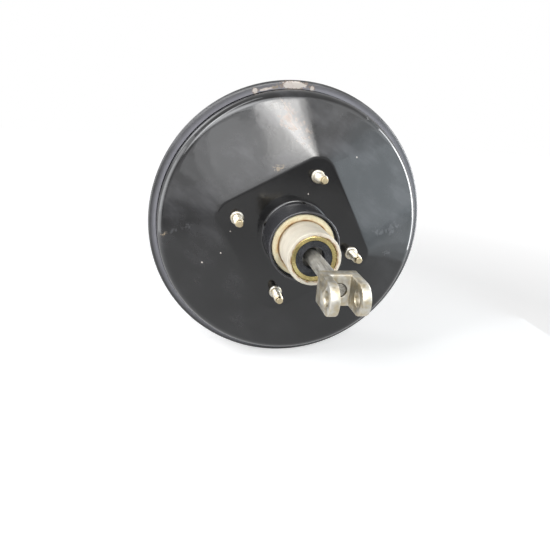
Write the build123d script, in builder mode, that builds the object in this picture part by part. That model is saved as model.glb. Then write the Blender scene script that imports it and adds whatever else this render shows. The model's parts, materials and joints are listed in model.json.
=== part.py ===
from build123d import *
import os
from math import cos, radians, sin, sqrt, tan

os.makedirs("parts", exist_ok=True)

# Vacuum brake booster, in millimetres. The axis lies along Y and the pedal side faces -Y.
# "Reach" is the distance from the firewall face along the axis: positive towards the pedal,
# negative towards the engine. The origin is the centre of the firewall face.

# Pressed shells and the crimp that joins them
sheet = 1.8
rim_d = 267.0
lip_width = 7.3
lip_gap = 0.7
crimp_bend = 2.4
bead_height = 6.4
pad_rise = 31.0

# Rear shell: straight wall, rolled shoulder, face lofted up to a square firewall pad, neck
wall_rise = 5.0
shoulder_round = 11.0
face_slope = 17.0
pad_side = 113.6
pad_corner = 16.0
pad_edge_round = 3.6
side_fan = 26.0
neck_d = 61.4
neck_rise = 36.6
neck_root_round = 4.0
neck_edge_round = 0.8

# Front shell: wall, shoulder, shallow cone and the flat boss that carries the master cylinder
body_depth = 114.0
crimp_step = 6.5
front_draft = 3.0
front_cone_height = 14.0
front_shoulder_round = 20.0
boss_d = 108.0
boss_height = 5.5
boss_flank = 6.0
boss_foot_round = 6.0
boss_edge_round = 3.0
front_hole_d = 38.0

# Studs, all M8, and the plates inside the shells that they are pressed into
stud_spacing = 80.0
stud_clock = 28.9
master_stud_spacing = 84.0
stud_d = 8.0
stud_collar_d = 10.6
stud_collar_rise = 2.5
stud_reach = 24.2
master_stud_reach = 28.0
dog_point_d = 5.8
dog_point_length = 3.6
stud_chamfer = 0.6
stud_head_d = 14.0
stud_head_height = 3.0
plate_thickness = 2.5
rear_plate_side = 104.0
rear_plate_corner = 14.0
front_plate_d = 100.0

# Working clearances
seat_clear = 0.05
run_clear = 0.08
free_clear = 0.3

# Valve body and the neck's seal pack
valve_d = 43.5
valve_end = 70.1
valve_bore_d = 37.26
valve_edge_chamfer = 0.6
guide_ring_d = 54.8
guide_ring_face = 32.3
guide_ring_length = 12.4
seal_sleeve_drop = 1.2
seal_length = 23.0
seal_heel = 4.4
seal_lip = 1.4
seal_lip_clear = 0.15
retainer_thickness = 1.5
retainer_lap = 5.2
stop_clear = 0.1

# Hub, diaphragm plate and diaphragm
hub_spigot_d = 60.0
hub_barb = 1.5
hub_barb_length = 2.8
hub_spigot_length = 10.0
hub_rear = -10.0
hub_flange_d = 88.0
hub_flange_length = 7.0
hub_boss_d = 53.0
hub_boss_length = 6.0
support_thickness = 1.6
support_step_d = 124.0
support_step = 5.0
support_step_run = 8.0
support_rim = 26.0
support_bend = 6.0
rubber = 2.0
rubber_clear = 0.3
inner_bead = 5.4
fold_width = 17.6
fold_drop = 2.0

# Control valve inside the valve body
chamber_floor = 18.0
seat_lip_height = 4.3
seat_lip_d = 29.6
seat_lip_wall = 1.2
plunger_d = 18.0
plunger_travel = 2.0
plunger_neck_d = 10.0
plunger_head_d = 23.0
plunger_head_length = 2.0
key_thickness = 3.0
key_width = 20.0
key_length = 52.0
key_play = 0.3
reaction_d = 26.4
reaction_disc_length = 8.0
reaction_floor = -17.0
channel_d = 3.8
channel_pitch_d = 33.2
ball_d = 12.6
ball_reach = 16.5
poppet_lift = 0.4
poppet_face = 2.5
poppet_flange = 2.5
poppet_hole_d = 15.0
poppet_wall = 1.5
poppet_length = 16.0
poppet_spring_d = 24.0
poppet_wire_d = 1.2
poppet_spring_turns = 3
cup_length = 5.8
cup_wall = 1.5
cup_hole_d = 17.0
rod_spring_d = 19.0
rod_wire_d = 1.5
rod_spring_turns = 3
rod_spring_length = 9.0
filter_length = 8.0
filter_hole_d = 18.4
clip_drop = 0.8
clip_thickness = 1.4
clip_wall = 1.2
clip_hole_d = 29.7
clip_skirt = 6.0

# Input rod, lock nut and clevis
rod_d = 12.0
rod_neck_d = 8.4
rod_neck_length = 11.0
rod_collar_d = 22.0
rod_collar_length = 1.5
rod_thread_d = 10.0
rod_thread_start = 116.0
rod_end_chamfer = 1.0
nut_flats = 16.0
nut_length = 6.0
nut_start = 121.0
clevis_width = 26.0
clevis_height = 22.0
clevis_slot = 14.0
clevis_base_length = 9.0
clevis_ear = 14.0
clevis_pin_d = 10.1
clevis_corner = 3.0

# Output rod and its retainer
output_d = 11.0
output_stand = 6.0
adjuster_thread_d = 6.0
adjuster_thread_length = 10.0
adjuster_flats = 9.0
adjuster_head = 3.5
adjuster_nose_d = 7.0
adjuster_nose_length = 5.5
adjuster_nose_round = 2.0
keeper_thickness = 1.4
keeper_hole_d = 13.0
keeper_skirt = 4.0
front_seal_d = 46.0
front_seal_flange = 3.0

# Return spring
return_spring_d = 62.0
return_wire_d = 4.0
return_turns = 6

# Vacuum port with its grommet and one-way valve, high on the front shell
port_margin = 38.0
port_clock = 120.0
port_sink = 4.6
port_pad_d = 38.0
port_pad_depth = 9.5
port_hole_d = 19.0
grommet_d = 30.0
grommet_rise = 4.0
grommet_inner_d = 26.0
grommet_inner_length = 4.2
stem_d = 12.0
stem_barb_d = 14.4
stem_barb_length = 3.0
stem_bore_d = 6.4
check_d = 27.0
check_wall = 1.5
check_floor = 3.0
check_depth = 8.0
check_seat_d = 12.0
check_seat_rise = 1.5
check_disc_d = 19.0
check_disc_thickness = 2.0
check_pin_d = 4.0
check_wire_d = 0.8
check_spring_d = 8.6
check_spring_turns = 3
cap_thickness = 3.0
tower_d = 17.0
tower_height = 11.0
tower_bore_d = 11.0
tower_roof = 3.0
tower_edge_round = 2.5
spigot_d = 10.0
spigot_bore_d = 5.6
spigot_reach = 37.0
spigot_root_d = 13.0
spigot_root_stand = 1.0
spigot_chamfer = 1.0

# Radii and reaches that follow from the sizes above
rim_r = rim_d / 2
lip_inner_r = rim_r - lip_width
rear_wall_r = lip_inner_r - lip_gap
lip_top = -pad_rise
flange_top = lip_top - sheet
flange_under = flange_top - sheet
step_top = flange_under - bead_height
step_under = step_top - sheet
bead_r = rim_r - crimp_bend
wall_top = lip_top + wall_rise
neck_r = neck_d / 2
neck_bore_r = neck_r - sheet
front_wall_r = rim_r - crimp_step
front_corner_r = front_wall_r - front_draft
front_inner = sheet - body_depth
front_hole_r = front_hole_d / 2
collar_hole_r = stud_collar_d / 2 + seat_clear
rear_plate_back = -sheet - plate_thickness
front_plate_back = front_inner + plate_thickness
valve_r = valve_d / 2
bore_r = valve_bore_d / 2
bore_fit_r = bore_r - seat_clear
seal_top = guide_ring_face - seal_sleeve_drop
seal_front = seal_top - seal_length
retainer_front = seal_front - retainer_thickness
key_rear = retainer_front - stop_clear
key_front = key_rear - key_thickness
spigot_r = hub_spigot_d / 2
hub_step = hub_rear - hub_spigot_length
hub_front = hub_step - hub_flange_length
hub_nose = hub_front - hub_boss_length
hub_boss_r = hub_boss_d / 2
support_top = hub_step + support_thickness
support_low = support_top - support_step
leg_r = front_corner_r - sheet - free_clear
skin_r = leg_r - fold_width
support_r = skin_r - rubber_clear
reaction_r = reaction_d / 2
disc_front = reaction_floor - reaction_disc_length
plunger_bore_r = plunger_d / 2
plunger_r = plunger_bore_r - run_clear
ball_r = ball_d / 2
socket_r = ball_r + run_clear
seat_top = chamber_floor + seat_lip_height
plunger_top = seat_top + poppet_lift / 2
poppet_front = seat_top + poppet_lift
poppet_back = poppet_front + poppet_length
poppet_r = seat_lip_d / 2 + poppet_wall
cup_back = poppet_back + cup_length
rod_collar_front = cup_back + rod_spring_length
rod_r = rod_d / 2
clip_face = valve_end - clip_drop
clip_under = clip_face - clip_thickness
clevis_front = nut_start + nut_length
clevis_slot_start = clevis_front + clevis_base_length
clevis_pin_reach = clevis_slot_start + clevis_ear
output_r = output_d / 2
output_reach = -body_depth - output_stand
adjuster_base = output_reach - adjuster_head
port_face = port_sink - body_depth
port_pitch_r = front_corner_r - port_margin
port_x = port_pitch_r * cos(radians(port_clock))
port_z = port_pitch_r * sin(radians(port_clock))
port_at = {"x": port_x, "z": port_z}
grommet_face = port_face - grommet_rise
check_floor_face = grommet_face - seat_clear - check_floor
check_mouth = check_floor_face - check_depth
disc_back = check_floor_face - check_seat_rise
cap_face = check_mouth - cap_thickness
tower_top = cap_face - tower_height
spigot_level = (cap_face + tower_top) / 2

AXIS = Axis((0, 0, 0), (0, -1, 0))
QUARTER = 90


def across(reach, clock=0.0, x=0.0, z=0.0):
    """A plane square to the axis, facing the pedal, turned by clock degrees."""
    turned = (cos(radians(clock)), 0, sin(radians(clock)))
    return Plane(origin=(x, -reach, z), x_dir=turned, z_dir=(0, -1, 0))


def section(x=0.0, z=0.0):
    """A plane through an axis parallel to the booster's: its x is radius and its y is reach."""
    return Plane(origin=(x, 0, z), x_dir=(1, 0, 0), z_dir=(0, 0, -1))


def turn(*corners, x=0.0, z=0.0, mode=Mode.ADD):
    """Revolve a straight-sided outline of (radius, reach) corners."""
    with BuildSketch(section(x, z)) as outline:
        with BuildLine():
            Polyline(*corners, close=True)
        make_face()
    revolve(outline.sketch, axis=Axis((x, 0, z), (0, -1, 0)), mode=mode)


def ring(inner_r, outer_r, low, high, x=0.0, z=0.0, mode=Mode.ADD):
    """A plain turned ring, or a disc where inner_r is zero, between two reaches."""
    turn((inner_r, low), (outer_r, low), (outer_r, high), (inner_r, high), x=x, z=z, mode=mode)


def turn_sheet(points, radii, thickness, side):
    """Revolve a strip of sheet that follows a rounded path of (radius, reach) points."""
    with BuildSketch(section()) as outline:
        with BuildLine():
            FilletPolyline(*points, radius=radii)
            offset(amount=thickness, side=side)
        make_face()
    revolve(outline.sketch, axis=AXIS)


def coil(mean_d, wire_d, low, high, turns, x=0.0, z=0.0):
    """A helical spring that stands between two seats."""
    length = high - low - wire_d
    with BuildLine() as path:
        Helix(
            pitch=length / turns,
            height=length,
            radius=mean_d / 2,
            center=(x, -low - wire_d / 2, z),
            direction=(0, -1, 0),
        )
    with BuildSketch(Plane(origin=path.line @ 0, z_dir=path.line % 0)) as wire:
        Circle(wire_d / 2)
    sweep(wire.sketch, path=path.line, is_frenet=True)


def rear_dish(inset):
    """The rear shell's outside as a full solid, with its skin set back by inset."""
    bend = shoulder_round - inset
    run_out = QUARTER - face_slope
    with BuildSketch(section()) as side:
        with BuildLine():
            wall_r = rear_wall_r - inset
            wall = Polyline((0, flange_under), (wall_r, flange_under), (wall_r, wall_top))
            shoulder = CenterArc((rear_wall_r - shoulder_round, wall_top), bend, 0, run_out)
            Polyline(shoulder @ 1, (0, (shoulder @ 1).Y), wall @ 0)
        make_face()
    revolve(side.sketch, axis=AXIS)
    circle_r = rear_wall_r - shoulder_round + bend * cos(radians(run_out))
    circle_reach = wall_top + bend * sin(radians(run_out))
    with BuildSketch(across(circle_reach, stud_clock)) as foot:
        with BuildLine():
            for quarter in range(4):
                start = QUARTER * quarter - side_fan / 2
                CenterArc((0, 0), circle_r, start, side_fan)
                CenterArc((0, 0), circle_r, start + side_fan, QUARTER - side_fan)
        make_face()
    side_inset = inset * tan(radians(face_slope / 2))
    with BuildSketch(across(-inset, stud_clock)) as pad:
        RectangleRounded(pad_side - 2 * side_inset, pad_side - 2 * side_inset, pad_corner - side_inset)
    loft([foot.sketch.faces()[0], pad.sketch.faces()[0]])


def studs(places, reach, face, back, facing):
    """Pressed-in studs: head behind its plate, collar proud of the face, shank and dog point."""
    collar = face + facing * stud_collar_rise
    tip = face + facing * reach
    dog = tip - facing * dog_point_length
    dog_r = dog_point_d / 2
    shank_r = stud_d / 2
    for x, z in places:
        turn(
            (0, back - facing * stud_head_height),
            (stud_head_d / 2, back - facing * stud_head_height),
            (stud_head_d / 2, back),
            (stud_collar_d / 2, back),
            (stud_collar_d / 2, collar),
            (shank_r, collar),
            (shank_r, dog - facing * stud_chamfer),
            (shank_r - stud_chamfer, dog),
            (dog_r, dog),
            (dog_r, tip - facing * stud_chamfer),
            (dog_r - stud_chamfer, tip),
            (0, tip),
            x=x,
            z=z,
        )


def finish(builder, name):
    """Label a finished piece and write it."""
    builder.part.label = name
    export_step(builder.part, f"parts/{name}.step")


# Rear shell
with BuildPart() as rear_cavity:
    rear_dish(sheet)
    fillet(rear_cavity.faces().sort_by(AXIS)[-1].edges(), pad_edge_round - sheet)

with BuildPart() as rear_shell:
    rear_dish(0)
    fillet(rear_shell.faces().sort_by(AXIS)[-1].edges(), pad_edge_round)
    with BuildSketch(section()):
        with BuildLine():
            root_r = neck_r + neck_root_round
            edge_low = neck_rise - neck_edge_round
            base = Polyline((0, -sheet), (root_r, -sheet), (root_r, 0))
            root = CenterArc((root_r, neck_root_round), neck_root_round, -90, -90)
            Line(root @ 1, (neck_r, edge_low))
            edge = CenterArc((neck_r - neck_edge_round, edge_low), neck_edge_round, 0, 90)
            Polyline(edge @ 1, (0, neck_rise), base @ 0)
        make_face()
    revolve(axis=AXIS)
    add(rear_cavity.part, mode=Mode.SUBTRACT)
    ring(0, neck_bore_r, lip_top, neck_rise + sheet, mode=Mode.SUBTRACT)
    ring(rear_wall_r - sheet, bead_r, flange_under, flange_top)
    with BuildSketch(across(0, stud_clock)):
        with GridLocations(stud_spacing, stud_spacing, 2, 2):
            Circle(collar_hole_r)
    extrude(amount=-2 * sheet, mode=Mode.SUBTRACT)
finish(rear_shell, "rear_shell")

# Front shell, with the flat pad for the vacuum port
with BuildPart() as front_shell:
    turn_sheet(
        [
            (lip_inner_r, lip_top),
            (rim_r, lip_top),
            (rim_r, step_under),
            (front_wall_r, step_under),
            (front_corner_r, front_cone_height - body_depth),
            (boss_d / 2 + boss_flank, boss_height - body_depth),
            (boss_d / 2, -body_depth),
            (front_hole_r, -body_depth),
        ],
        [crimp_bend, crimp_bend, sheet / 2, front_shoulder_round, boss_foot_round, boss_edge_round],
        sheet,
        Side.RIGHT,
    )
    port_base = port_face + port_pad_depth
    ring(0, port_pad_d / 2, port_face, port_base, **port_at)
    ring(0, port_pad_d / 2 - sheet, port_face + sheet, port_base, **port_at, mode=Mode.SUBTRACT)
    ring(0, port_hole_d / 2, port_face - sheet, port_base, **port_at, mode=Mode.SUBTRACT)
    with BuildSketch(across(-body_depth)):
        with PolarLocations(master_stud_spacing / 2, 2):
            Circle(collar_hole_r)
    extrude(amount=2 * sheet, mode=Mode.SUBTRACT)
finish(front_shell, "front_shell")

# Plates inside the shells, and the studs pressed through them
with BuildPart() as rear_plate:
    with BuildSketch(across(-sheet, stud_clock)):
        RectangleRounded(rear_plate_side, rear_plate_side, rear_plate_corner)
        Circle(neck_bore_r, mode=Mode.SUBTRACT)
        with GridLocations(stud_spacing, stud_spacing, 2, 2):
            Circle(collar_hole_r, mode=Mode.SUBTRACT)
    extrude(amount=-plate_thickness)
finish(rear_plate, "rear_reinforcement_plate")

with BuildPart() as front_plate:
    with BuildSketch(across(front_inner)):
        Circle(front_plate_d / 2)
        Circle(front_hole_r, mode=Mode.SUBTRACT)
        with PolarLocations(master_stud_spacing / 2, 2):
            Circle(collar_hole_r, mode=Mode.SUBTRACT)
    extrude(amount=plate_thickness)
finish(front_plate, "front_reinforcement_plate")

stud_pitch_r = stud_spacing / sqrt(2)
corner_angles = [radians(stud_clock + QUARTER * (corner + 1 / 2)) for corner in range(4)]
firewall_places = [(stud_pitch_r * cos(angle), stud_pitch_r * sin(angle)) for angle in corner_angles]
with BuildPart() as firewall_studs:
    studs(firewall_places, stud_reach, 0, rear_plate_back, 1)
finish(firewall_studs, "firewall_studs")

master_places = [(side * master_stud_spacing / 2, 0) for side in (-1, 1)]
with BuildPart() as master_studs:
    studs(master_places, master_stud_reach, -body_depth, front_plate_back, -1)
finish(master_studs, "master_cylinder_studs")

# Seal pack in the neck: guide ring, lip seal around it, and the washer that holds both
guide_front = guide_ring_face - guide_ring_length
guide_ring_r = guide_ring_d / 2
with BuildPart() as guide_ring:
    ring(valve_r + run_clear, guide_ring_r, guide_front, guide_ring_face)
    chamfer(guide_ring.edges().group_by(AXIS)[-1], valve_edge_chamfer)
finish(guide_ring, "guide_ring")

seal_r = neck_bore_r - seat_clear
lip_r = valve_r + seal_lip_clear
heel_front = guide_front - seat_clear - seal_heel
with BuildPart() as neck_seal:
    turn(
        (seal_r, seal_front),
        (seal_r, seal_top),
        (guide_ring_r + seat_clear, seal_top),
        (guide_ring_r + seat_clear, guide_front - seat_clear),
        (lip_r, guide_front - seat_clear),
        (lip_r, heel_front),
        (seal_r - 2 * seal_lip, heel_front),
        (lip_r, seal_front + seal_lip),
        (lip_r + seal_lip, seal_front),
    )
finish(neck_seal, "neck_seal")

with BuildPart() as seal_retainer:
    ring(seal_r - retainer_lap, seal_r, retainer_front, seal_front)
finish(seal_retainer, "seal_retainer")

# Valve body: rear tube, hub with its barb and flange, front boss, valve seat and passages
seat_lip_r = seat_lip_d / 2
with BuildPart() as valve_body:
    turn(
        (bore_r, valve_end),
        (valve_r - valve_edge_chamfer, valve_end),
        (valve_r, valve_end - valve_edge_chamfer),
        (valve_r, hub_rear),
        (spigot_r, hub_rear),
        (spigot_r + hub_barb, hub_rear - hub_barb_length / 2),
        (spigot_r + hub_barb, hub_rear - hub_barb_length),
        (spigot_r, hub_rear - hub_barb_length),
        (spigot_r, hub_step),
        (hub_flange_d / 2, hub_step),
        (hub_flange_d / 2, hub_front),
        (hub_boss_r, hub_front),
        (hub_boss_r, hub_nose),
        (reaction_r, hub_nose),
        (reaction_r, reaction_floor),
        (plunger_bore_r, reaction_floor),
        (plunger_bore_r, chamber_floor),
        (seat_lip_r - seat_lip_wall, chamber_floor),
        (seat_lip_r - seat_lip_wall, seat_top),
        (seat_lip_r, seat_top),
        (seat_lip_r, chamber_floor),
        (bore_r, chamber_floor),
    )
    with BuildSketch(across(key_front - key_play)):
        Rectangle(2 * spigot_r, key_width + 2 * key_play)
    extrude(amount=key_thickness + 2 * key_play, mode=Mode.SUBTRACT)
    with BuildSketch(across(chamber_floor)):
        with PolarLocations(channel_pitch_d / 2, 2, start_angle=90):
            Circle(channel_d / 2)
    extrude(amount=hub_nose - chamber_floor, mode=Mode.SUBTRACT)
finish(valve_body, "valve_body")

with BuildPart() as stop_key:
    with BuildSketch(across(key_front)):
        Rectangle(key_length, key_width)
        with BuildSketch(mode=Mode.PRIVATE) as throat:
            SlotOverall(2 * key_length, plunger_neck_d + 2 * free_clear)
        with Locations((key_length - plunger_neck_d / 2 - free_clear, 0)):
            add(throat.sketch, mode=Mode.SUBTRACT)
    extrude(amount=key_thickness)
finish(stop_key, "stop_key")

# Diaphragm plate and rolling diaphragm
with BuildPart() as support:
    turn_sheet(
        [
            (spigot_r + seat_clear, support_top),
            (support_step_d / 2, support_top),
            (support_step_d / 2 + support_step_run, support_low),
            (support_r, support_low),
            (support_r, support_low - support_rim),
        ],
        [support_bend, support_bend, support_bend],
        support_thickness,
        Side.RIGHT,
    )
finish(support, "diaphragm_plate")

fold_round = fold_width / 2 - seat_clear
fold_bottom = support_low - support_rim - fold_drop - fold_round
with BuildPart() as diaphragm:
    turn_sheet(
        [
            (spigot_r + inner_bead / 2, support_top + rubber_clear),
            (support_step_d / 2, support_top + rubber_clear),
            (support_step_d / 2 + support_step_run, support_low + rubber_clear),
            (skin_r, support_low + rubber_clear),
            (skin_r, fold_bottom),
            (leg_r, fold_bottom),
            (leg_r, step_top + bead_height / 2),
        ],
        [support_bend, support_bend, support_bend, fold_round, fold_round],
        rubber,
        Side.LEFT,
    )
    ring(spigot_r + seat_clear, spigot_r + inner_bead, support_top, support_top + inner_bead)
    ring(leg_r - rubber, bead_r, step_top, flange_under)
finish(diaphragm, "diaphragm")

# Control valve: plunger, poppet with its spring and cup, reaction disc
groove_front = key_front - free_clear
groove_rear = key_rear + plunger_travel + free_clear
nose = reaction_floor + plunger_travel + free_clear
plunger_head_r = plunger_head_d / 2
with BuildPart() as plunger:
    turn(
        (0, nose),
        (plunger_r, nose),
        (plunger_r, groove_front),
        (plunger_neck_d / 2, groove_front),
        (plunger_neck_d / 2, groove_rear),
        (plunger_r, groove_rear),
        (plunger_r, plunger_top - plunger_head_length),
        (plunger_head_r, plunger_top - plunger_head_length),
        (plunger_head_r, plunger_top),
        (0, plunger_top),
    )
    ring(0, socket_r, ball_reach, plunger_top, mode=Mode.SUBTRACT)
    with Locations((0, -ball_reach, 0)):
        Sphere(socket_r, mode=Mode.SUBTRACT)
finish(plunger, "valve_plunger")

poppet_face_back = poppet_front + poppet_face
with BuildPart() as poppet:
    turn(
        (poppet_hole_d / 2, poppet_front),
        (poppet_r, poppet_front),
        (poppet_r, poppet_back - poppet_flange),
        (bore_fit_r, poppet_back - poppet_flange),
        (bore_fit_r, poppet_back),
        (poppet_r - poppet_wall, poppet_back),
        (poppet_r - poppet_wall, poppet_face_back),
        (poppet_hole_d / 2, poppet_face_back),
    )
finish(poppet, "poppet_valve")

with BuildPart() as poppet_cup:
    ring(cup_hole_d / 2, bore_fit_r, cup_back - cup_wall, cup_back)
    ring(bore_fit_r - cup_wall, bore_fit_r, poppet_back, cup_back)
finish(poppet_cup, "poppet_retainer")

with BuildPart() as poppet_spring:
    coil(poppet_spring_d, poppet_wire_d, poppet_face_back, cup_back - cup_wall, poppet_spring_turns)
finish(poppet_spring, "poppet_spring")

with BuildPart() as reaction_disc:
    ring(0, reaction_r - seat_clear, disc_front, reaction_floor)
finish(reaction_disc, "reaction_disc")

# Air filter and the clip ring that holds it in the tube's mouth
with BuildPart() as clip:
    ring(clip_hole_d / 2, bore_fit_r, clip_under, clip_face)
    ring(bore_fit_r - clip_wall, bore_fit_r, clip_face - clip_skirt, clip_face)
finish(clip, "filter_retainer")

with BuildPart() as air_filter:
    ring(filter_hole_d / 2, bore_fit_r - clip_wall - seat_clear, clip_under - filter_length, clip_under)
finish(air_filter, "air_filter")

# Input rod with its ball, spring collar and threaded end
rod_end = clevis_slot_start - free_clear
neck_end = ball_reach + rod_neck_length
thread_r = rod_thread_d / 2
with BuildPart() as input_rod:
    with Locations((0, -ball_reach, 0)):
        Sphere(ball_r)
    turn(
        (0, ball_reach),
        (rod_neck_d / 2, ball_reach),
        (rod_neck_d / 2, neck_end),
        (rod_r, neck_end + rod_end_chamfer),
        (rod_r, rod_collar_front),
        (rod_collar_d / 2, rod_collar_front),
        (rod_collar_d / 2, rod_collar_front + rod_collar_length),
        (rod_r, rod_collar_front + rod_collar_length),
        (rod_r, rod_thread_start - rod_end_chamfer),
        (thread_r, rod_thread_start),
        (thread_r, rod_end - rod_end_chamfer),
        (thread_r - rod_end_chamfer, rod_end),
        (0, rod_end),
    )
finish(input_rod, "input_rod")

with BuildPart() as rod_spring:
    coil(rod_spring_d, rod_wire_d, cup_back, rod_collar_front, rod_spring_turns)
finish(rod_spring, "rod_return_spring")

with BuildPart() as lock_nut:
    with BuildSketch(across(nut_start)):
        RegularPolygon(nut_flats / 2, 6, major_radius=False)
        Circle(thread_r + seat_clear, mode=Mode.SUBTRACT)
    extrude(amount=nut_length)
finish(lock_nut, "clevis_lock_nut")

# Clevis: a forged fork, screwed on the rod, with the pedal pin's hole across X
clevis_half = clevis_height / 2
with BuildPart() as clevis:
    with BuildSketch(Plane.YZ):
        with BuildLine():
            eye = CenterArc((-clevis_pin_reach, 0), clevis_half, 90, 180)
            Polyline(eye @ 1, (-clevis_front, -clevis_half), (-clevis_front, clevis_half), eye @ 0)
        make_face()
    extrude(amount=clevis_width / 2, both=True)
    fillet(clevis.faces().sort_by(AXIS)[0].edges().filter_by(Axis.Z), clevis_corner)
    with BuildSketch(across(clevis_slot_start)):
        Rectangle(clevis_slot, clevis_height)
    extrude(amount=clevis_pin_reach + clevis_half - clevis_slot_start, mode=Mode.SUBTRACT)
    ring(0, thread_r + seat_clear, clevis_front, clevis_slot_start, mode=Mode.SUBTRACT)
    with BuildSketch(Plane.YZ):
        with Locations((-clevis_pin_reach, 0)):
            Circle(clevis_pin_d / 2)
    extrude(amount=clevis_width / 2, both=True, mode=Mode.SUBTRACT)
finish(clevis, "clevis")

# Output rod, its adjusting screw and the keeper that holds it in the hub
with BuildPart() as output_rod:
    turn(
        (0, disc_front),
        (reaction_r - run_clear, disc_front),
        (reaction_r - run_clear, hub_nose + free_clear),
        (output_r, hub_nose + free_clear),
        (output_r, output_reach),
        (0, output_reach),
    )
    hole_end = output_reach + adjuster_thread_length + free_clear
    ring(0, adjuster_thread_d / 2 + seat_clear, output_reach, hole_end, mode=Mode.SUBTRACT)
finish(output_rod, "output_rod")

adjuster_tip = adjuster_base - adjuster_nose_length
with BuildPart() as adjuster:
    with BuildSketch(across(adjuster_base)):
        RegularPolygon(adjuster_flats / 2, 6, major_radius=False)
    extrude(amount=adjuster_head)
    ring(0, adjuster_thread_d / 2, output_reach, output_reach + adjuster_thread_length)
    ring(0, adjuster_nose_d / 2, adjuster_tip, adjuster_base)
    fillet(adjuster.edges().group_by(AXIS)[0], adjuster_nose_round)
finish(adjuster, "output_adjuster")

with BuildPart() as keeper:
    turn(
        (keeper_hole_d / 2, hub_nose - keeper_thickness),
        (hub_boss_r + seat_clear + keeper_thickness, hub_nose - keeper_thickness),
        (hub_boss_r + seat_clear + keeper_thickness, hub_nose + keeper_skirt),
        (hub_boss_r + seat_clear, hub_nose + keeper_skirt),
        (hub_boss_r + seat_clear, hub_nose),
        (keeper_hole_d / 2, hub_nose),
    )
    with BuildSketch(across(hub_nose)):
        with PolarLocations(channel_pitch_d / 2, 2, start_angle=90):
            Circle(channel_d / 2)
    extrude(amount=-keeper_thickness, mode=Mode.SUBTRACT)
finish(keeper, "output_rod_retainer")

# Return spring, and the seal that the output rod slides through
with BuildPart() as return_spring:
    coil(return_spring_d, return_wire_d, front_plate_back, hub_front, return_turns)
finish(return_spring, "return_spring")

with BuildPart() as front_seal:
    turn(
        (output_r + seal_lip_clear, seal_lip - body_depth),
        (front_hole_r - seat_clear, seal_lip - body_depth),
        (front_hole_r - seat_clear, front_plate_back),
        (front_seal_d / 2, front_plate_back),
        (front_seal_d / 2, front_plate_back + front_seal_flange),
        (output_r + seal_lip_clear, front_plate_back + front_seal_flange),
    )
finish(front_seal, "front_seal")

# Vacuum port: grommet in the shell, then the one-way valve that swivels in it
with BuildPart() as grommet:
    bore = stem_d / 2 + run_clear
    inner_end = port_face + sheet + grommet_inner_length
    turn(
        (bore, grommet_face),
        (grommet_d / 2, grommet_face),
        (grommet_d / 2, port_face),
        (port_hole_d / 2 - seat_clear, port_face),
        (port_hole_d / 2 - seat_clear, port_face + sheet),
        (grommet_inner_d / 2, port_face + sheet),
        (bore + seal_lip, inner_end),
        (bore, inner_end),
        **port_at,
    )
finish(grommet, "vacuum_grommet")

stem_end = inner_end + seat_clear + stem_barb_length
with BuildPart() as check_body:
    turn(
        (stem_bore_d / 2, stem_end),
        (stem_d / 2, stem_end),
        (stem_barb_d / 2, inner_end + seat_clear),
        (stem_d / 2, inner_end + seat_clear),
        (stem_d / 2, grommet_face - seat_clear),
        (check_d / 2, grommet_face - seat_clear),
        (check_d / 2, check_mouth),
        (check_d / 2 - check_wall, check_mouth),
        (check_d / 2 - check_wall, check_floor_face),
        (check_seat_d / 2, check_floor_face),
        (check_seat_d / 2, disc_back),
        (stem_bore_d / 2, disc_back),
        **port_at,
    )
finish(check_body, "check_valve_body")

disc_front_face = disc_back - seat_clear - check_disc_thickness
with BuildPart() as check_disc:
    ring(0, check_disc_d / 2, disc_front_face, disc_back - seat_clear, **port_at)
    ring(0, check_pin_d / 2, check_mouth, disc_front_face, **port_at)
finish(check_disc, "check_valve_disc")

with BuildPart() as check_spring:
    coil(check_spring_d, check_wire_d, check_mouth, disc_front_face, check_spring_turns, **port_at)
finish(check_spring, "check_valve_spring")

spigot_root = Plane(origin=(port_x, -spigot_level, port_z), x_dir=(1, 0, 0), z_dir=(0, 0, 1))
inlet_r = check_spring_d / 2 - check_wire_d
inlet_end = check_mouth - check_wall
with BuildPart() as check_cap:
    ring(0, check_d / 2, cap_face, check_mouth, **port_at)
    ring(0, tower_d / 2, tower_top, cap_face, **port_at)
    fillet(check_cap.edges().group_by(AXIS)[0], tower_edge_round)
    with BuildSketch(spigot_root):
        Circle(spigot_d / 2)
    extrude(amount=spigot_reach)
    chamfer(check_cap.edges().group_by(Axis.Z)[-1], spigot_chamfer)
    with BuildSketch(spigot_root):
        Circle(spigot_root_d / 2)
    extrude(amount=check_d / 2 + spigot_root_stand)
    ring(0, tower_bore_d / 2, tower_top + tower_roof, inlet_end, **port_at, mode=Mode.SUBTRACT)
    ring(0, inlet_r, inlet_end, check_mouth, **port_at, mode=Mode.SUBTRACT)
    with BuildSketch(spigot_root):
        Circle(spigot_bore_d / 2)
    extrude(amount=spigot_reach, mode=Mode.SUBTRACT)
finish(check_cap, "check_valve_cap")
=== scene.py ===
import json
from math import atan2, cos, hypot, pi, radians, sin, tan

import bmesh
import bpy
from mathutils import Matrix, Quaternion, Vector, noise

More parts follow.
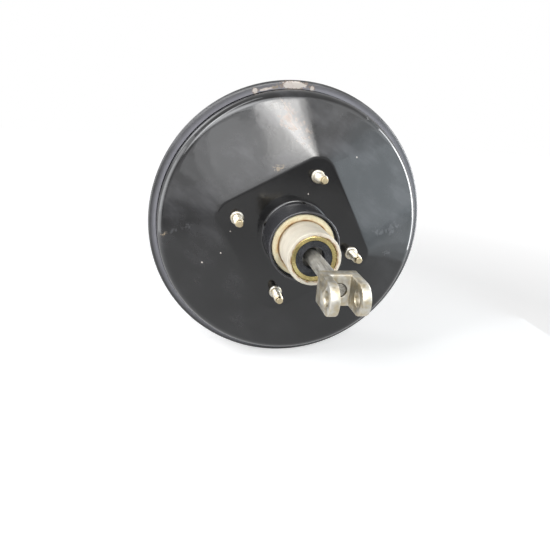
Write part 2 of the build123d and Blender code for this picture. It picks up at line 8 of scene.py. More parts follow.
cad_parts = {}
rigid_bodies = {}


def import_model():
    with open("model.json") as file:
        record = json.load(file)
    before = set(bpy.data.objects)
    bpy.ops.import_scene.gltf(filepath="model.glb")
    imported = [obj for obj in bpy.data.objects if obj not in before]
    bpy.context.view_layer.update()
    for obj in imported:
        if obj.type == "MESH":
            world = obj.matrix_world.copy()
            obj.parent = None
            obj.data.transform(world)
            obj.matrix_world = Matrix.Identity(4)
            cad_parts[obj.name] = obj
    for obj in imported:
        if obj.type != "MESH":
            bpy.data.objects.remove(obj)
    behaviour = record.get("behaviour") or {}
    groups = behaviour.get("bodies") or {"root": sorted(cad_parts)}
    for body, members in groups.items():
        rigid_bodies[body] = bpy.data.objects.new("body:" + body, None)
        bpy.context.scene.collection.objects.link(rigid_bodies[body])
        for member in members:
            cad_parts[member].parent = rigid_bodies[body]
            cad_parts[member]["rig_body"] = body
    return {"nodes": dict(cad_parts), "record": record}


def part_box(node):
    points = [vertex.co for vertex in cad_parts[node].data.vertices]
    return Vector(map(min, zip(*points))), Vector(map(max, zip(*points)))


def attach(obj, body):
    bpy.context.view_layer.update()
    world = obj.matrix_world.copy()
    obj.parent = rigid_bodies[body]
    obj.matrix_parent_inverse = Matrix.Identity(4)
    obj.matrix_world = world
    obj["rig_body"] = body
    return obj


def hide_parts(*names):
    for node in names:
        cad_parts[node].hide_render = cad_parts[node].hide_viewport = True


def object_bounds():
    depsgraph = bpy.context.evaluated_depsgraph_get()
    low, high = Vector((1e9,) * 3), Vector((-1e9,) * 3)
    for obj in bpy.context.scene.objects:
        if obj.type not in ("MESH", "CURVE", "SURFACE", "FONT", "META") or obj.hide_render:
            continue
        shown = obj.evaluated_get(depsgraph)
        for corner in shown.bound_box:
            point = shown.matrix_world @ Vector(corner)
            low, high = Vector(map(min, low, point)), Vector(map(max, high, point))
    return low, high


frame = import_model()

bl_info = {
    "name": "Brake Booster",
    "version": (1, 0, 0),
    "blender": (4, 5, 0),
    "location": "View3D > Sidebar > Booster",
    "description": "Dresses a vacuum brake booster with smooth shells, threads and worn finishes",
    "category": "Object",
}

MM = 0.001
CAD_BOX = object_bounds()
MOUNTS = {mount["name"]: mount for mount in frame["record"]["mounts"]}

# The booster's axis lies along Y, and a place along it is given as its reach: its distance from the
# firewall face towards the pedal. An outline is a list of (radius, reach) corners.
COLUMNS = 192
ARC_STEPS = 5
SIDE_COLUMNS = 20
CORNER_COLUMNS = 44
SHOULDER_STEPS = 14
FACE_STEPS = 24
PAD_EDGE_STEPS = 6
NECK_STEPS = 8
SHARP_ANGLE = radians(38)
MERGE_DISTANCE = MM / 500


def far_radius(node):
    """A turned node's largest radius about the booster's axis."""
    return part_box(node)[1].x


def reaches(node):
    """The reaches of a node's front and rear ends."""
    low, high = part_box(node)
    return -high.y, -low.y


def port_place():
    """The X and Z of the vacuum port's axis."""
    low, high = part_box("vacuum_grommet")
    return (low.x + high.x) / 2, (low.z + high.z) / 2


def node_slot(node):
    """The record's material slot of a node."""
    return next(row["material_slot"] for row in frame["record"]["subparts"] if row["node"] == node)


def length(name, millimetres, description):
    """A size that a user can change, given in millimetres and kept in metres."""
    return bpy.props.FloatProperty(
        name=name,
        description=description,
        default=millimetres * MM,
        precision=5,
        unit="LENGTH",
        subtype="DISTANCE",
    )


def angle(name, degrees, description):
    """An angle that a user can change, given in degrees."""
    return bpy.props.FloatProperty(
        name=name, description=description, default=radians(degrees), subtype="ANGLE"
    )


def colour(name, rgb, description):
    """A linear colour that a user can change."""
    return bpy.props.FloatVectorProperty(
        name=name,
        description=description,
        default=(*rgb, 1.0),
        size=4,
        min=0.0,
        max=1.0,
        subtype="COLOR",
    )


class BoosterShells(bpy.types.PropertyGroup):
    """Sizes of the two pressed shells."""

    sheet: length("Sheet", 1.8, "Thickness of the pressed steel")
    rim: length("Rim", far_radius("front_shell") / MM, "Radius over the crimp")
    lip: length("Lip", 126.2, "Inner radius of the crimped lip")
    lip_bend: length("Lip bend", 3.0, "Round of the crimp's outer edges")
    step_depth: length("Step depth", 11.8, "Height of the crimp from its lip to its step")
    flange: length("Flange", far_radius("rear_shell") / MM, "Radius of the rear shell's flange")
    flange_bend: length("Flange bend", 2.6, "Round between the flange and the rear wall")
    wall: length("Rear wall", 125.5, "Radius of the rear shell's wall")
    wall_rise: length("Wall rise", 5.0, "Height of the wall above the lip")
    shoulder: length("Shoulder", 11.0, "Round of the rear shoulder")
    face_slope: angle("Face slope", 17.0, "Slope at which the face leaves the shoulder")
    pad_side: length("Pad side", 113.6, "Width of the square firewall pad")
    pad_corner: length("Pad corner", 16.0, "Corner radius of the pad")
    pad_edge: length("Pad edge", 1.3, "Run of the soft bend around the pad")
    side_fan: angle("Side fan", 26.0, "Angle that each flat side spreads to at the shoulder")
    clock: angle("Clock", 28.9, "Turn of the pad and its studs about the axis")
    neck: length("Neck", 30.7, "Outer radius of the neck")
    neck_root: length("Neck root", 2.2, "Round at the foot of the neck")
    neck_edge: length("Neck edge", 0.8, "Round of the neck's mouth")
    ripple: length("Ripple", 0.12, "Height of the gentle waves in the pressed face")
    ripple_length: length("Ripple length", 38.0, "Width of the gentle waves in the pressed face")
    front_wall: length("Front wall", 127.0, "Radius of the front shell's wall at the crimp")
    front_corner: length("Front corner", 124.0, "Radius at the corner of the front shell")
    cone: length("Cone", 14.0, "Height of the front cone")
    front_round: length("Front round", 20.0, "Round of the front corner")
    boss: length("Boss", 54.0, "Radius of the flat boss for the master cylinder")
    boss_flank: length("Boss flank", 6.0, "Width of the boss's sloping flank")
    boss_height: length("Boss height", 5.5, "Height of the boss above the cone")
    boss_foot: length("Boss foot", 6.0, "Round at the foot of the boss")
    boss_edge: length("Boss edge", 3.0, "Round at the edge of the boss")
    front_hole: length("Front hole", 19.0, "Radius of the hole for the output rod's seal")
    port_pad: length("Port pad", 19.0, "Radius of the flat pad under the vacuum port")
    port_flank: length("Port flank", 3.2, "Width of the pad's rounded flank")
    port_sink: length("Port sink", 4.6, "Depth of the pad's face behind the boss")
    port_hole: length("Port hole", 9.5, "Radius of the hole in the pad")


class BoosterStuds(bpy.types.PropertyGroup):
    """Sizes of the pressed-in studs."""

    collar: length("Collar", 5.3, "Radius of the collar that fills the shell's hole")
    hole_gap: length("Hole gap", 0.05, "Gap between the collar and the shell's hole")
    seat: length("Seat", 0.02, "Gap between the flange and the shell's face")
    flange: length("Flange", 6.1, "Radius of the domed flange on the shell's face")
    collar_rise: length("Collar rise", 2.5, "Height of the flange above the face")
    collar_round: length("Collar round", 1.5, "Round of the flange's edge")
    thread_depth: length("Thread depth", 0.62, "Depth of the thread")
    thread_pitch: length("Thread pitch", 1.25, "Pitch of the thread")
    head: length("Head", 7.0, "Radius of the head inside the shell")
    head_height: length("Head height", 3.0, "Height of the head")
    plate: length("Plate", 2.5, "Thickness of the plate that the studs are pressed into")
    dog: length("Dog point", 2.9, "Radius of the plain point")
    dog_length: length("Dog length", 3.6, "Length of the plain point")
    chamfer: length("Chamfer", 0.6, "Chamfer at the end of the point")


class BoosterValve(bpy.types.PropertyGroup):
    """Sizes of the valve body, its seals and the filter in its mouth."""

    tube: length("Tube", 21.75, "Outer radius of the valve body's tube")
    bore: length("Bore", 18.63, "Inner radius of the tube")
    mouth_round: length("Mouth round", 0.9, "Round of the tube's end")
    ring_bore: length("Ring bore", 21.83, "Inner radius of the guide ring")
    ring_round: length("Ring round", 0.7, "Round of the guide ring's edges")
    sleeve: length("Sleeve", 27.45, "Inner radius of the seal's sleeve around the guide ring")
    clip_hole: length("Clip hole", 14.85, "Inner radius of the filter's retaining clip")
    clip_sheet: length("Clip sheet", 1.3, "Thickness of the clip")
    clip_dish: length("Clip dish", 0.9, "Depth that the clip's face sinks towards its hole")
    foam_hole: length("Foam hole", 9.2, "Radius of the hole in the filter")
    foam_nap: length("Foam nap", 0.35, "Height of the foam's open surface")


class BoosterRods(bpy.types.PropertyGroup):
    """Sizes of the input rod, its clevis and the output rod."""

    rod: length("Input rod", 6.0, "Radius of the input rod")
    ball: length("Ball", 6.3, "Radius of the ball inside the plunger")
    ball_reach: length("Ball reach", 16.5, "Reach of the ball's centre")
    neck: length("Rod neck", 4.2, "Radius of the rod beside the ball")
    neck_end: length("Neck end", 27.5, "Reach where the neck ends")
    collar: length("Rod collar", 11.0, "Radius of the spring collar")
    collar_reach: length("Collar reach", 53.5, "Reach of the spring collar")
    collar_length: length("Collar length", 1.5, "Thickness of the spring collar")
    thread: length("Rod thread", 5.0, "Radius of the rod's thread")
    thread_start: length("Thread start", 116.0, "Reach where the thread starts")
    thread_pitch: length("Thread pitch", 1.5, "Pitch of the rod's thread")
    thread_depth: length("Thread depth", 0.75, "Depth of the rod's thread")
    nut_flats: length("Nut flats", 16.0, "Width of the lock nut across its flats")
    clevis_slot: length("Clevis slot", 14.0, "Width of the clevis slot")
    clevis_base: length("Clevis base", 9.0, "Length of the clevis behind its slot")
    clevis_edge: length("Clevis edge", 0.7, "Bevel of the clevis")
    output: length("Output rod", 5.5, "Radius of the output rod")
    adjuster_flats: length("Adjuster flats", 9.0, "Width of the adjuster across its flats")
    adjuster_head: length("Adjuster head", 3.5, "Height of the adjuster's head")
    adjuster_nose: length("Adjuster nose", 3.5, "Radius of the adjuster's nose")


class BoosterPort(bpy.types.PropertyGroup):
    """Sizes of the vacuum port's grommet and one-way valve."""

    grommet: length("Grommet", 15.0, "Radius of the grommet's flange")
    stem: length("Stem", 6.0, "Radius of the valve's stem")
    stem_bore: length("Stem bore", 3.2, "Radius of the passage in the stem")
    cup: length("Cup", 13.5, "Radius of the valve's cup")
    cup_wall: length("Cup wall", 1.5, "Wall of the cup")
    cap: length("Cap", 3.0, "Thickness of the cap")
    tower: length("Tower", 8.5, "Radius of the cap's tower")
    tower_round: length("Tower round", 2.5, "Round of the tower's top")
    spigot_bore: length("Spigot bore", 2.8, "Radius of the hose spigot's bore")
    spigot_root: length("Spigot root", 6.5, "Radius of the collar at the spigot's root")


class BoosterColours(bpy.types.PropertyGroup):
    """Colours of the finishes."""

    paint: colour("Paint", (0.0055, 0.0055, 0.0060), "Black stove enamel")
    # Haze: real dust and smears, and also a painted sheen laid thicker towards the top of the rear face
    haze_and_sheen: colour("Haze", (0.125, 0.125, 0.135), "Dust and wiped smears on the enamel")
    dust: colour("Dust", (0.27, 0.27, 0.30), "Dust on the crimped lip and the neck")
    scuff: colour("Scuff", (0.30, 0.24, 0.17), "Tan scuffs through the enamel")
    rust: colour("Rust", (0.31, 0.21, 0.15), "Rust bloom along the worn crease")
    bare: colour("Bare", (0.62, 0.565, 0.52), "Chipped lip, down to bare metal")
    zinc: colour("Zinc", (0.47, 0.455, 0.41), "Zinc plate")
    tarnish: colour("Tarnish", (0.34, 0.26, 0.12), "Yellow tarnish on the zinc plate")
    olive: colour("Olive", (0.36, 0.30, 0.13), "Olive passivated zinc")
    steel: colour("Steel", (0.40, 0.39, 0.36), "Grey steel")
    nylon: colour("Nylon", (0.96, 0.88, 0.62), "Yellowed nylon")
    cream: colour("Cream", (0.78, 0.72, 0.60), "Cream plastic")
    grime: colour("Grime", (0.36, 0.17, 0.04), "Brown grease in the joints")
    stain: colour("Stain", (0.66, 0.38, 0.10), "Orange stain that spreads from the grease")
    rubber: colour("Rubber", (0.014, 0.014, 0.015), "Black rubber")
    foam: colour("Foam", (0.020, 0.021, 0.024), "Filter foam")
    plastic: colour("Plastic", (0.018, 0.018, 0.019), "Black plastic")


class BoosterStage(bpy.types.PropertyGroup):
    """Camera, floor and lamps."""

    camera_place: bpy.props.FloatVectorProperty(
        name="Camera place",
        description="Where the camera stands",
        default=(-0.09800, -0.41549, 0.11096),
        subtype="TRANSLATION",
        unit="LENGTH",
    )
    camera_look: bpy.props.FloatVectorProperty(
        name="Camera look",
        description="The way the camera looks",
        default=(0.1807, 0.9259, -0.3318),
        subtype="DIRECTION",
    )
    camera_roll: angle("Camera roll", 3.783, "How far the camera leans about its line of sight")
    lens: bpy.props.FloatProperty(
        name="Lens",
        description="Focal length of the camera, in millimetres on a full frame",
        default=31.453,
        unit="CAMERA",
    )
    backdrop: colour("Backdrop", (0.74, 0.74, 0.74), "Colour of the floor")


def part_sizes(name):
    """One of the scene's groups of sizes."""
    return getattr(bpy.context.scene, name)


# Meshes


def place(radius, reach, turn, x=0.0, z=0.0):
    """The point at a radius, reach and turn about a line along Y."""
    return Vector((x + radius * cos(turn), -reach, z + radius * sin(turn)))


def rounded(corners, steps=ARC_STEPS):
    """A closed outline of (radius, reach, round) corners, with arcs and a holding point beside each."""
    points = []
    for index, (radius, reach, bend) in enumerate(corners):
        here = Vector((radius, reach))
        if bend == 0:
            points.append(here)
            continue
        back = Vector(corners[index - 1][:2]) - here
        onward = Vector(corners[(index + 1) % len(corners)][:2]) - here
        half = back.angle(onward) / 2
        run = bend / tan(half)
        back.normalize()
        onward.normalize()
        centre = here + (back + onward).normalized() * (bend / sin(half))
        start = here + back * run - centre
        end = here + onward * run - centre
        hold = run / 2
        points.append(here + back * (run + hold))
        points += [centre + start.slerp(end, step / steps) * bend for step in range(steps + 1)]
        points.append(here + onward * (run + hold))
    return points


def even_turns(count=COLUMNS):
    """Angles spaced evenly round a full turn."""
    return [2 * pi * index / count for index in range(count)]


def sweep_round(outline, turns=None, x=0.0, z=0.0):
    """The vertices and faces of a closed outline turned about a line along Y."""
    turns = turns or even_turns()
    verts = []
    rows = []
    for radius, reach in outline:
        if radius < MM / 100:
            rows.append([len(verts)] * len(turns))
            verts.append(place(0.0, reach, 0.0, x, z))
            continue
        rows.append(list(range(len(verts), len(verts) + len(turns))))
        verts += [place(radius, reach, turn, x, z) for turn in turns]
    return verts, grid_faces(rows)


def grid_faces(rows):
    """Faces between rows of vertices that close on themselves both ways."""
    faces = []
    for index, row in enumerate(rows):
        after = rows[(index + 1) % len(rows)]
        for column in range(len(row)):
            beside = (column + 1) % len(row)
            corners = [row[column], row[beside], after[beside], after[column]]
            face = list(dict.fromkeys(corners))
            if len(face) > 2:
                faces.append(face)
    return faces


def new_piece(name, verts, faces):
    """An object of these faces, with its normals turned outwards."""
    mesh = bpy.data.meshes.new(name)
    mesh.from_pydata(verts, [], faces)
    piece = bpy.data.objects.new(name, mesh)
    bpy.context.scene.collection.objects.link(piece)
    turn_outwards(piece)
    return piece


def turn_outwards(piece):
    """Merge doubled vertices and point every closed shell's faces outwards."""
    shell = bmesh.new()
    shell.from_mesh(piece.data)
    bmesh.ops.remove_doubles(shell, verts=shell.verts, dist=MERGE_DISTANCE)
    bmesh.ops.recalc_face_normals(shell, faces=shell.faces)
    shell.to_mesh(piece.data)
    shell.free()


def turned(name, corners, x=0.0, z=0.0):
    """A turned piece from (radius, reach, round) corners."""
    return new_piece(name, *sweep_round(rounded(corners), x=x, z=z))


def settle(piece):
    """Replace a piece's mesh by what its modifiers make of it."""
    evaluated = piece.evaluated_get(bpy.context.evaluated_depsgraph_get())
    mesh = bpy.data.meshes.new_from_object(evaluated)
    before = piece.data
    piece.modifiers.clear()
    piece.data = mesh
    bpy.data.meshes.remove(before)


def carve(piece, cutters, operation="DIFFERENCE"):
    """Cut, join or trim a piece with other closed pieces, which are then removed."""
    for cutter in cutters:
        step = piece.modifiers.new("carve", "BOOLEAN")
        step.object = cutter
        step.operation = operation
        step.solver = "EXACT"
    settle(piece)
    for cutter in cutters:
        bpy.data.objects.remove(cutter)


def drill(radius, low, high, x=0.0, z=0.0):
    """A plain cylinder along Y, to cut a hole with."""
    return turned("drill", [(0, low, 0), (radius, low, 0), (radius, high, 0), (0, high, 0)], x, z)


def prism(name, outline, low, high, to_point):
    """A straight prism of a flat outline: to_point maps (across, along, height) to space."""
    count = len(outline)
    verts = [to_point(*point, low) for point in outline] + [to_point(*point, high) for point in outline]
    faces = [list(range(count)), list(range(count, 2 * count))]
    for index in range(count):
        after = (index + 1) % count
        faces.append([index, after, count + after, count + index])
    return new_piece(name, verts, faces)


def along_axis(across, up, reach):
    """A point of an outline that stands square to the booster's axis."""
    return Vector((across, -reach, up))


def hexagon(flats, low, high):
    """A hexagonal bar along the axis."""
    corner = flats / 2 / cos(pi / 6)
    outline = [(corner * cos(k * pi / 3), corner * sin(k * pi / 3)) for k in range(6)]
    return prism("hexagon", outline, low, high, along_axis)


def soften(piece, width, segments=2):
    """Bevel the sharp edges of a piece."""
    bevel = piece.modifiers.new("soften", "BEVEL")
    bevel.width = width
    bevel.segments = segments
    bevel.limit_method = "ANGLE"
    bevel.angle_limit = SHARP_ANGLE
    settle(piece)


# Node trees


def add_node(tree, kind, inputs=None, **settings):
    """A new node, with its settings, and with values or sockets for its inputs."""
    made = tree.nodes.new(kind)
    for key, value in settings.items():
        setattr(made, key, value)
    for key, value in (inputs or {}).items():
        if isinstance(value, bpy.types.NodeSocket):
            tree.links.new(value, made.inputs[key])
        else:
            made.inputs[key].default_value = value
    return made


class Calculator:
    """Adds math nodes to a shader or geometry tree."""

    def __init__(self, tree):
        self.tree = tree

    def __call__(self, operation, *values):
        made = add_node(self.tree, "ShaderNodeMath", dict(enumerate(values)), operation=operation)
        return made.outputs[0]


def thread_tree():
    """Nodes that set a turned body with a threaded shank at every place of a bolt circle."""
    tree = bpy.data.node_groups.new("Threaded fasteners", "GeometryNodeTree")
    sockets = [
        ("Body", "NodeSocketObject"),
        ("Count", "NodeSocketInt"),
        ("Circle Radius", "NodeSocketFloat"),
        ("First Angle", "NodeSocketFloat"),
        ("Face", "NodeSocketFloat"),
        ("Facing", "NodeSocketFloat"),
        ("Thread Radius", "NodeSocketFloat"),
        ("Thread Depth", "NodeSocketFloat"),
        ("Thread Pitch", "NodeSocketFloat"),
        ("Thread Start", "NodeSocketFloat"),
        ("Thread Length", "NodeSocketFloat"),
        ("Finish", "NodeSocketMaterial"),
    ]
    for name, kind in sockets:
        tree.interface.new_socket(name, in_out="INPUT", socket_type=kind)
    tree.interface.new_socket("Geometry", in_out="OUTPUT", socket_type="NodeSocketGeometry")
    given = add_node(tree, "NodeGroupInput").outputs
    maths = Calculator(tree)

    # A grid is wrapped round the shank, and its radius rises and falls with the thread
    columns = 40
    rows_each_turn = 8
    turns = maths("DIVIDE", given["Thread Length"], given["Thread Pitch"])
    rows = maths("ADD", maths("ROUND", maths("MULTIPLY", turns, rows_each_turn)), 3)
    grid = add_node(
        tree,
        "GeometryNodeMeshGrid",
        {"Size X": 1.0, "Size Y": 1.0, "Vertices X": columns + 1, "Vertices Y": rows},
    )
    position = add_node(tree, "GeometryNodeInputPosition").outputs[0]
    at = add_node(tree, "ShaderNodeSeparateXYZ", {0: position}).outputs
    round_share = maths("ADD", at["X"], 0.5)
    row_share = maths("ADD", at["Y"], 0.5)
    row_step = maths("DIVIDE", 1.0, maths("SUBTRACT", rows, 1.0))
    between_caps = maths("SUBTRACT", 1.0, maths("MULTIPLY", row_step, 2.0))
    past_cap = maths("DIVIDE", maths("SUBTRACT", row_share, row_step), between_caps)
    rise = maths("MINIMUM", maths("MAXIMUM", past_cap, 0.0), 1.0)
    phase = maths("SUBTRACT", maths("MULTIPLY", rise, turns), round_share)
    wave = maths("MULTIPLY", maths("PINGPONG", phase, 0.5), 2.0)
    flattened = 1.2
    crest = maths("MINIMUM", maths("MULTIPLY", wave, flattened), 1.0)
    end_distance = maths("MULTIPLY", maths("MINIMUM", rise, maths("SUBTRACT", 1.0, rise)), turns)
    run_out = maths("MINIMUM", end_distance, 1.0)
    groove = maths("SUBTRACT", 1.0, maths("MULTIPLY", crest, run_out))
    cut = maths("MULTIPLY", given["Thread Depth"], groove)
    thread_radius = maths("SUBTRACT", given["Thread Radius"], cut)
    half_step = maths("MULTIPLY", row_step, 0.5)
    not_cap = maths(
        "MULTIPLY",
        maths("GREATER_THAN", row_share, half_step),
        maths("LESS_THAN", row_share, maths("SUBTRACT", 1.0, half_step)),
    )
    radius = maths("MULTIPLY", thread_radius, not_cap)
    turn = maths("MULTIPLY", round_share, 2 * pi)
    reach = maths("ADD", given["Thread Start"], maths("MULTIPLY", rise, given["Thread Length"]))
    wrapped = add_node(
        tree,
        "ShaderNodeCombineXYZ",
        {
            "X": maths("MULTIPLY", radius, maths("COSINE", turn)),
            "Y": maths("MULTIPLY", reach, -1.0),
            "Z": maths("MULTIPLY", radius, maths("SINE", turn)),
        },
    )
    shank = add_node(
        tree, "GeometryNodeSetPosition", {"Geometry": grid.outputs["Mesh"], "Position": wrapped.outputs[0]}
    )
    closed = add_node(
        tree, "GeometryNodeMergeByDistance", {"Geometry": shank.outputs[0], "Distance": MERGE_DISTANCE}
    )
    body = add_node(tree, "GeometryNodeObjectInfo", {"Object": given["Body"]})
    both = add_node(tree, "GeometryNodeJoinGeometry")
    tree.links.new(closed.outputs[0], both.inputs[0])
    tree.links.new(body.outputs["Geometry"], both.inputs[0])

    # One fastener stands at each place of the circle
    index = add_node(tree, "GeometryNodeInputIndex").outputs[0]
    share = maths("DIVIDE", maths("MULTIPLY", index, 2 * pi), given["Count"])
    clock = maths("ADD", given["First Angle"], share)
    spot = add_node(
        tree,
        "ShaderNodeCombineXYZ",
        {
            "X": maths("MULTIPLY", given["Circle Radius"], maths("COSINE", clock)),
            "Y": maths("MULTIPLY", given["Face"], -1.0),
            "Z": maths("MULTIPLY", given["Circle Radius"], maths("SINE", clock)),
        },
    )
    points = add_node(tree, "GeometryNodePoints", {"Count": given["Count"], "Position": spot.outputs[0]})
    facing = add_node(tree, "ShaderNodeCombineXYZ", {"Z": given["Facing"]})
    spread = add_node(
        tree,
        "GeometryNodeInstanceOnPoints",
        {"Points": points.outputs[0], "Instance": both.outputs[0], "Rotation": facing.outputs[0]},
    )
    real = add_node(tree, "GeometryNodeRealizeInstances", {"Geometry": spread.outputs[0]})
    dressed = add_node(
        tree, "GeometryNodeSetMaterial", {"Geometry": real.outputs[0], "Material": given["Finish"]}
    )
    result = add_node(tree, "NodeGroupOutput")
    tree.links.new(dressed.outputs[0], result.inputs["Geometry"])
    return tree


def threaded(name, values):
    """A piece made by the thread tree, from values by input name."""
    tree = bpy.data.node_groups.get("Threaded fasteners") or thread_tree()
    mesh = bpy.data.meshes.new(name)
    piece = bpy.data.objects.new(name, mesh)
    bpy.context.scene.collection.objects.link(piece)
    modifier = piece.modifiers.new("thread", "NODES")
    modifier.node_group = tree
    for socket in tree.interface.items_tree:
        if socket.in_out == "INPUT":
            modifier[socket.identifier] = values[socket.name]
    settle(piece)
    bpy.data.objects.remove(values["Body"])
    turn_outwards(piece)
    return piece


# Finishes


class Finish:
    """A material being made: its tree, its shader and the piece's own coordinates."""

    def __init__(self, name):
        self.material = bpy.data.materials.new(name)
        self.material.use_nodes = True
        self.tree = self.material.node_tree
        self.shader = self.tree.nodes["Principled BSDF"]
        self.spot = add_node(self.tree, "ShaderNodeTexCoord").outputs["Object"]
        self.maths = Calculator(self.tree)

    def set(self, **values):
        """Set shader inputs, by names with underscores for spaces."""
        for key, value in values.items():
            socket = self.shader.inputs[key.replace("_", " ")]
            if isinstance(value, bpy.types.NodeSocket):
                self.tree.links.new(value, socket)
            else:
                socket.default_value = value

    def stretch(self, scale, centre=(0, 0, 0), turn=0.0):
        """The piece's coordinates about a centre, turned about Y and scaled."""
        mapped = add_node(
            self.tree,
            "ShaderNodeMapping",
            {"Vector": self.spot, "Location": centre, "Rotation": (0, turn, 0), "Scale": scale},
            vector_type="TEXTURE",
        )
        return mapped.outputs[0]

    def cloud(self, size, low=0.0, high=1.0, detail=4.0, spot=None, start=0.35, end=0.65):
        """Noise of a given patch size, spread between two values."""
        made = add_node(
            self.tree,
            "ShaderNodeTexNoise",
            {"Vector": spot or self.spot, "Scale": 1 / size, "Detail": detail},
        )
        return self.spread(made.outputs[0], start, end, low, high)

    def spread(self, value, start, end, low=0.0, high=1.0):
        """A value mapped from one range to another, and kept inside it."""
        made = add_node(
            self.tree,
            "ShaderNodeMapRange",
            {"Value": value, "From Min": start, "From Max": end, "To Min": low, "To Max": high},
            interpolation_type="SMOOTHSTEP",
        )
        return made.outputs[0]

    def mix(self, share, first, second):
        """One colour laid over another."""
        made = add_node(self.tree, "ShaderNodeMix", {0: share, 6: first, 7: second}, data_type="RGBA")
        return made.outputs[2]

    def bump(self, height, distance, below=None):
        """A bumped normal, on top of another one."""
        inputs = {"Height": height, "Distance": distance}
        if below:
            inputs["Normal"] = below
        return add_node(self.tree, "ShaderNodeBump", inputs).outputs[0]

    def mark(self, centre, half, turn=0.0, ragged=0.5, grain=2.5 * MM, soft=0.3):
        """A ragged patch around a centre: half holds its half-widths, turned about Y."""
        inside = add_node(
            self.tree,
            "ShaderNodeVectorMath",
            {0: self.stretch(half, centre, turn)},
            operation="LENGTH",
        ).outputs["Value"]
        rough = self.cloud(grain, -ragged, ragged)
        return self.spread(self.maths("ADD", inside, rough), 1.0, 1.0 - soft)

    def marks(self, places, ragged, grain, soft, grow=1.0):
        """Ragged patches at places of the wear, as one mask."""
        patches = []
        for centre, half, turn in places:
            size = millimetres(*half) * grow
            patches.append(self.mark(millimetres(*centre), size, radians(turn), ragged, grain, soft))
        return self.largest(patches)

    def about_axis(self):
        """The depth, the height and the distance from the booster's axis."""
        at_x, depth, height = add_node(self.tree, "ShaderNodeSeparateXYZ", {0: self.spot}).outputs
        across = add_node(self.tree, "ShaderNodeCombineXYZ", {"X": at_x, "Y": height}).outputs[0]
        away = add_node(self.tree, "ShaderNodeVectorMath", {0: across}, operation="LENGTH")
        return depth, height, away.outputs["Value"]

    def largest(self, masks):
        """The largest of several masks."""
        total = masks[0]
        for mask in masks[1:]:
            total = self.maths("MAXIMUM", total, mask)
        return total


def millimetres(*values):
    """Millimetres as a vector in metres."""
    return Vector(values) * MM


def shaded(tone, share):
    """A darker tone of a colour."""
    return [value * share for value in tone[:3]] + [1.0]


# Places of the wear on the shells, in millimetres: centre, half-widths, turn in degrees
LIP_CHIPS = [
    ((-5.2, 31.0, 129.2), (12.4, 3.0, 3.4), -2),
    ((-30.0, 31.0, 124.2), (6.8, 3.0, 1.0), -14),
    ((-39.3, 31.0, 122.2), (2.8, 3.0, 2.4), -18),
    ((11.6, 31.0, 127.4), (2.3, 3.0, 2.1), 5),
]
TAN_SCUFFS = [
    ((-20.5, 31.0, 126.5), (5.5, 3.0, 2.2), -9),
    ((-20.0, 1.4, 60.2), (4.8, 4.0, 2.6), -20),
    ((-119.0, 16.0, -4.7), (4.0, 6.0, 1.6), -30),
]
PALE_SCUFFS = [
    ((-109.9, 12.9, -0.2), (7.0, 8.0, 1.5), -25),
    ((-100.1, 9.6, 3.8), (5.0, 6.0, 2.6), -25),
    ((96.8, 9.0, 7.0), (8.0, 8.0, 4.5), -25),
    ((81.4, 4.3, 3.3), (6.0, 8.0, 3.5), 10),
    ((93.2, 7.6, -17.7), (4.0, 6.0, 2.6), 10),
    ((35.0, 13.5, 106.5), (3.8, 6.0, 1.1), -45),
]
SPECKS = [
    ((-84.2, 7.9, -28.5), 1.0),
    ((-67.8, 2.9, -17.9), 0.8),
    ((-59.9, 0.0, 3.3), 0.7),
    ((8.4, 0.0, 38.8), 0.8),
    ((51.8, 6.4, 71.9), 0.9),
]
RUST_BLOOM = ((-8.5, 9.5, 99.0), (8.5, 9.0, 23.0), -35)


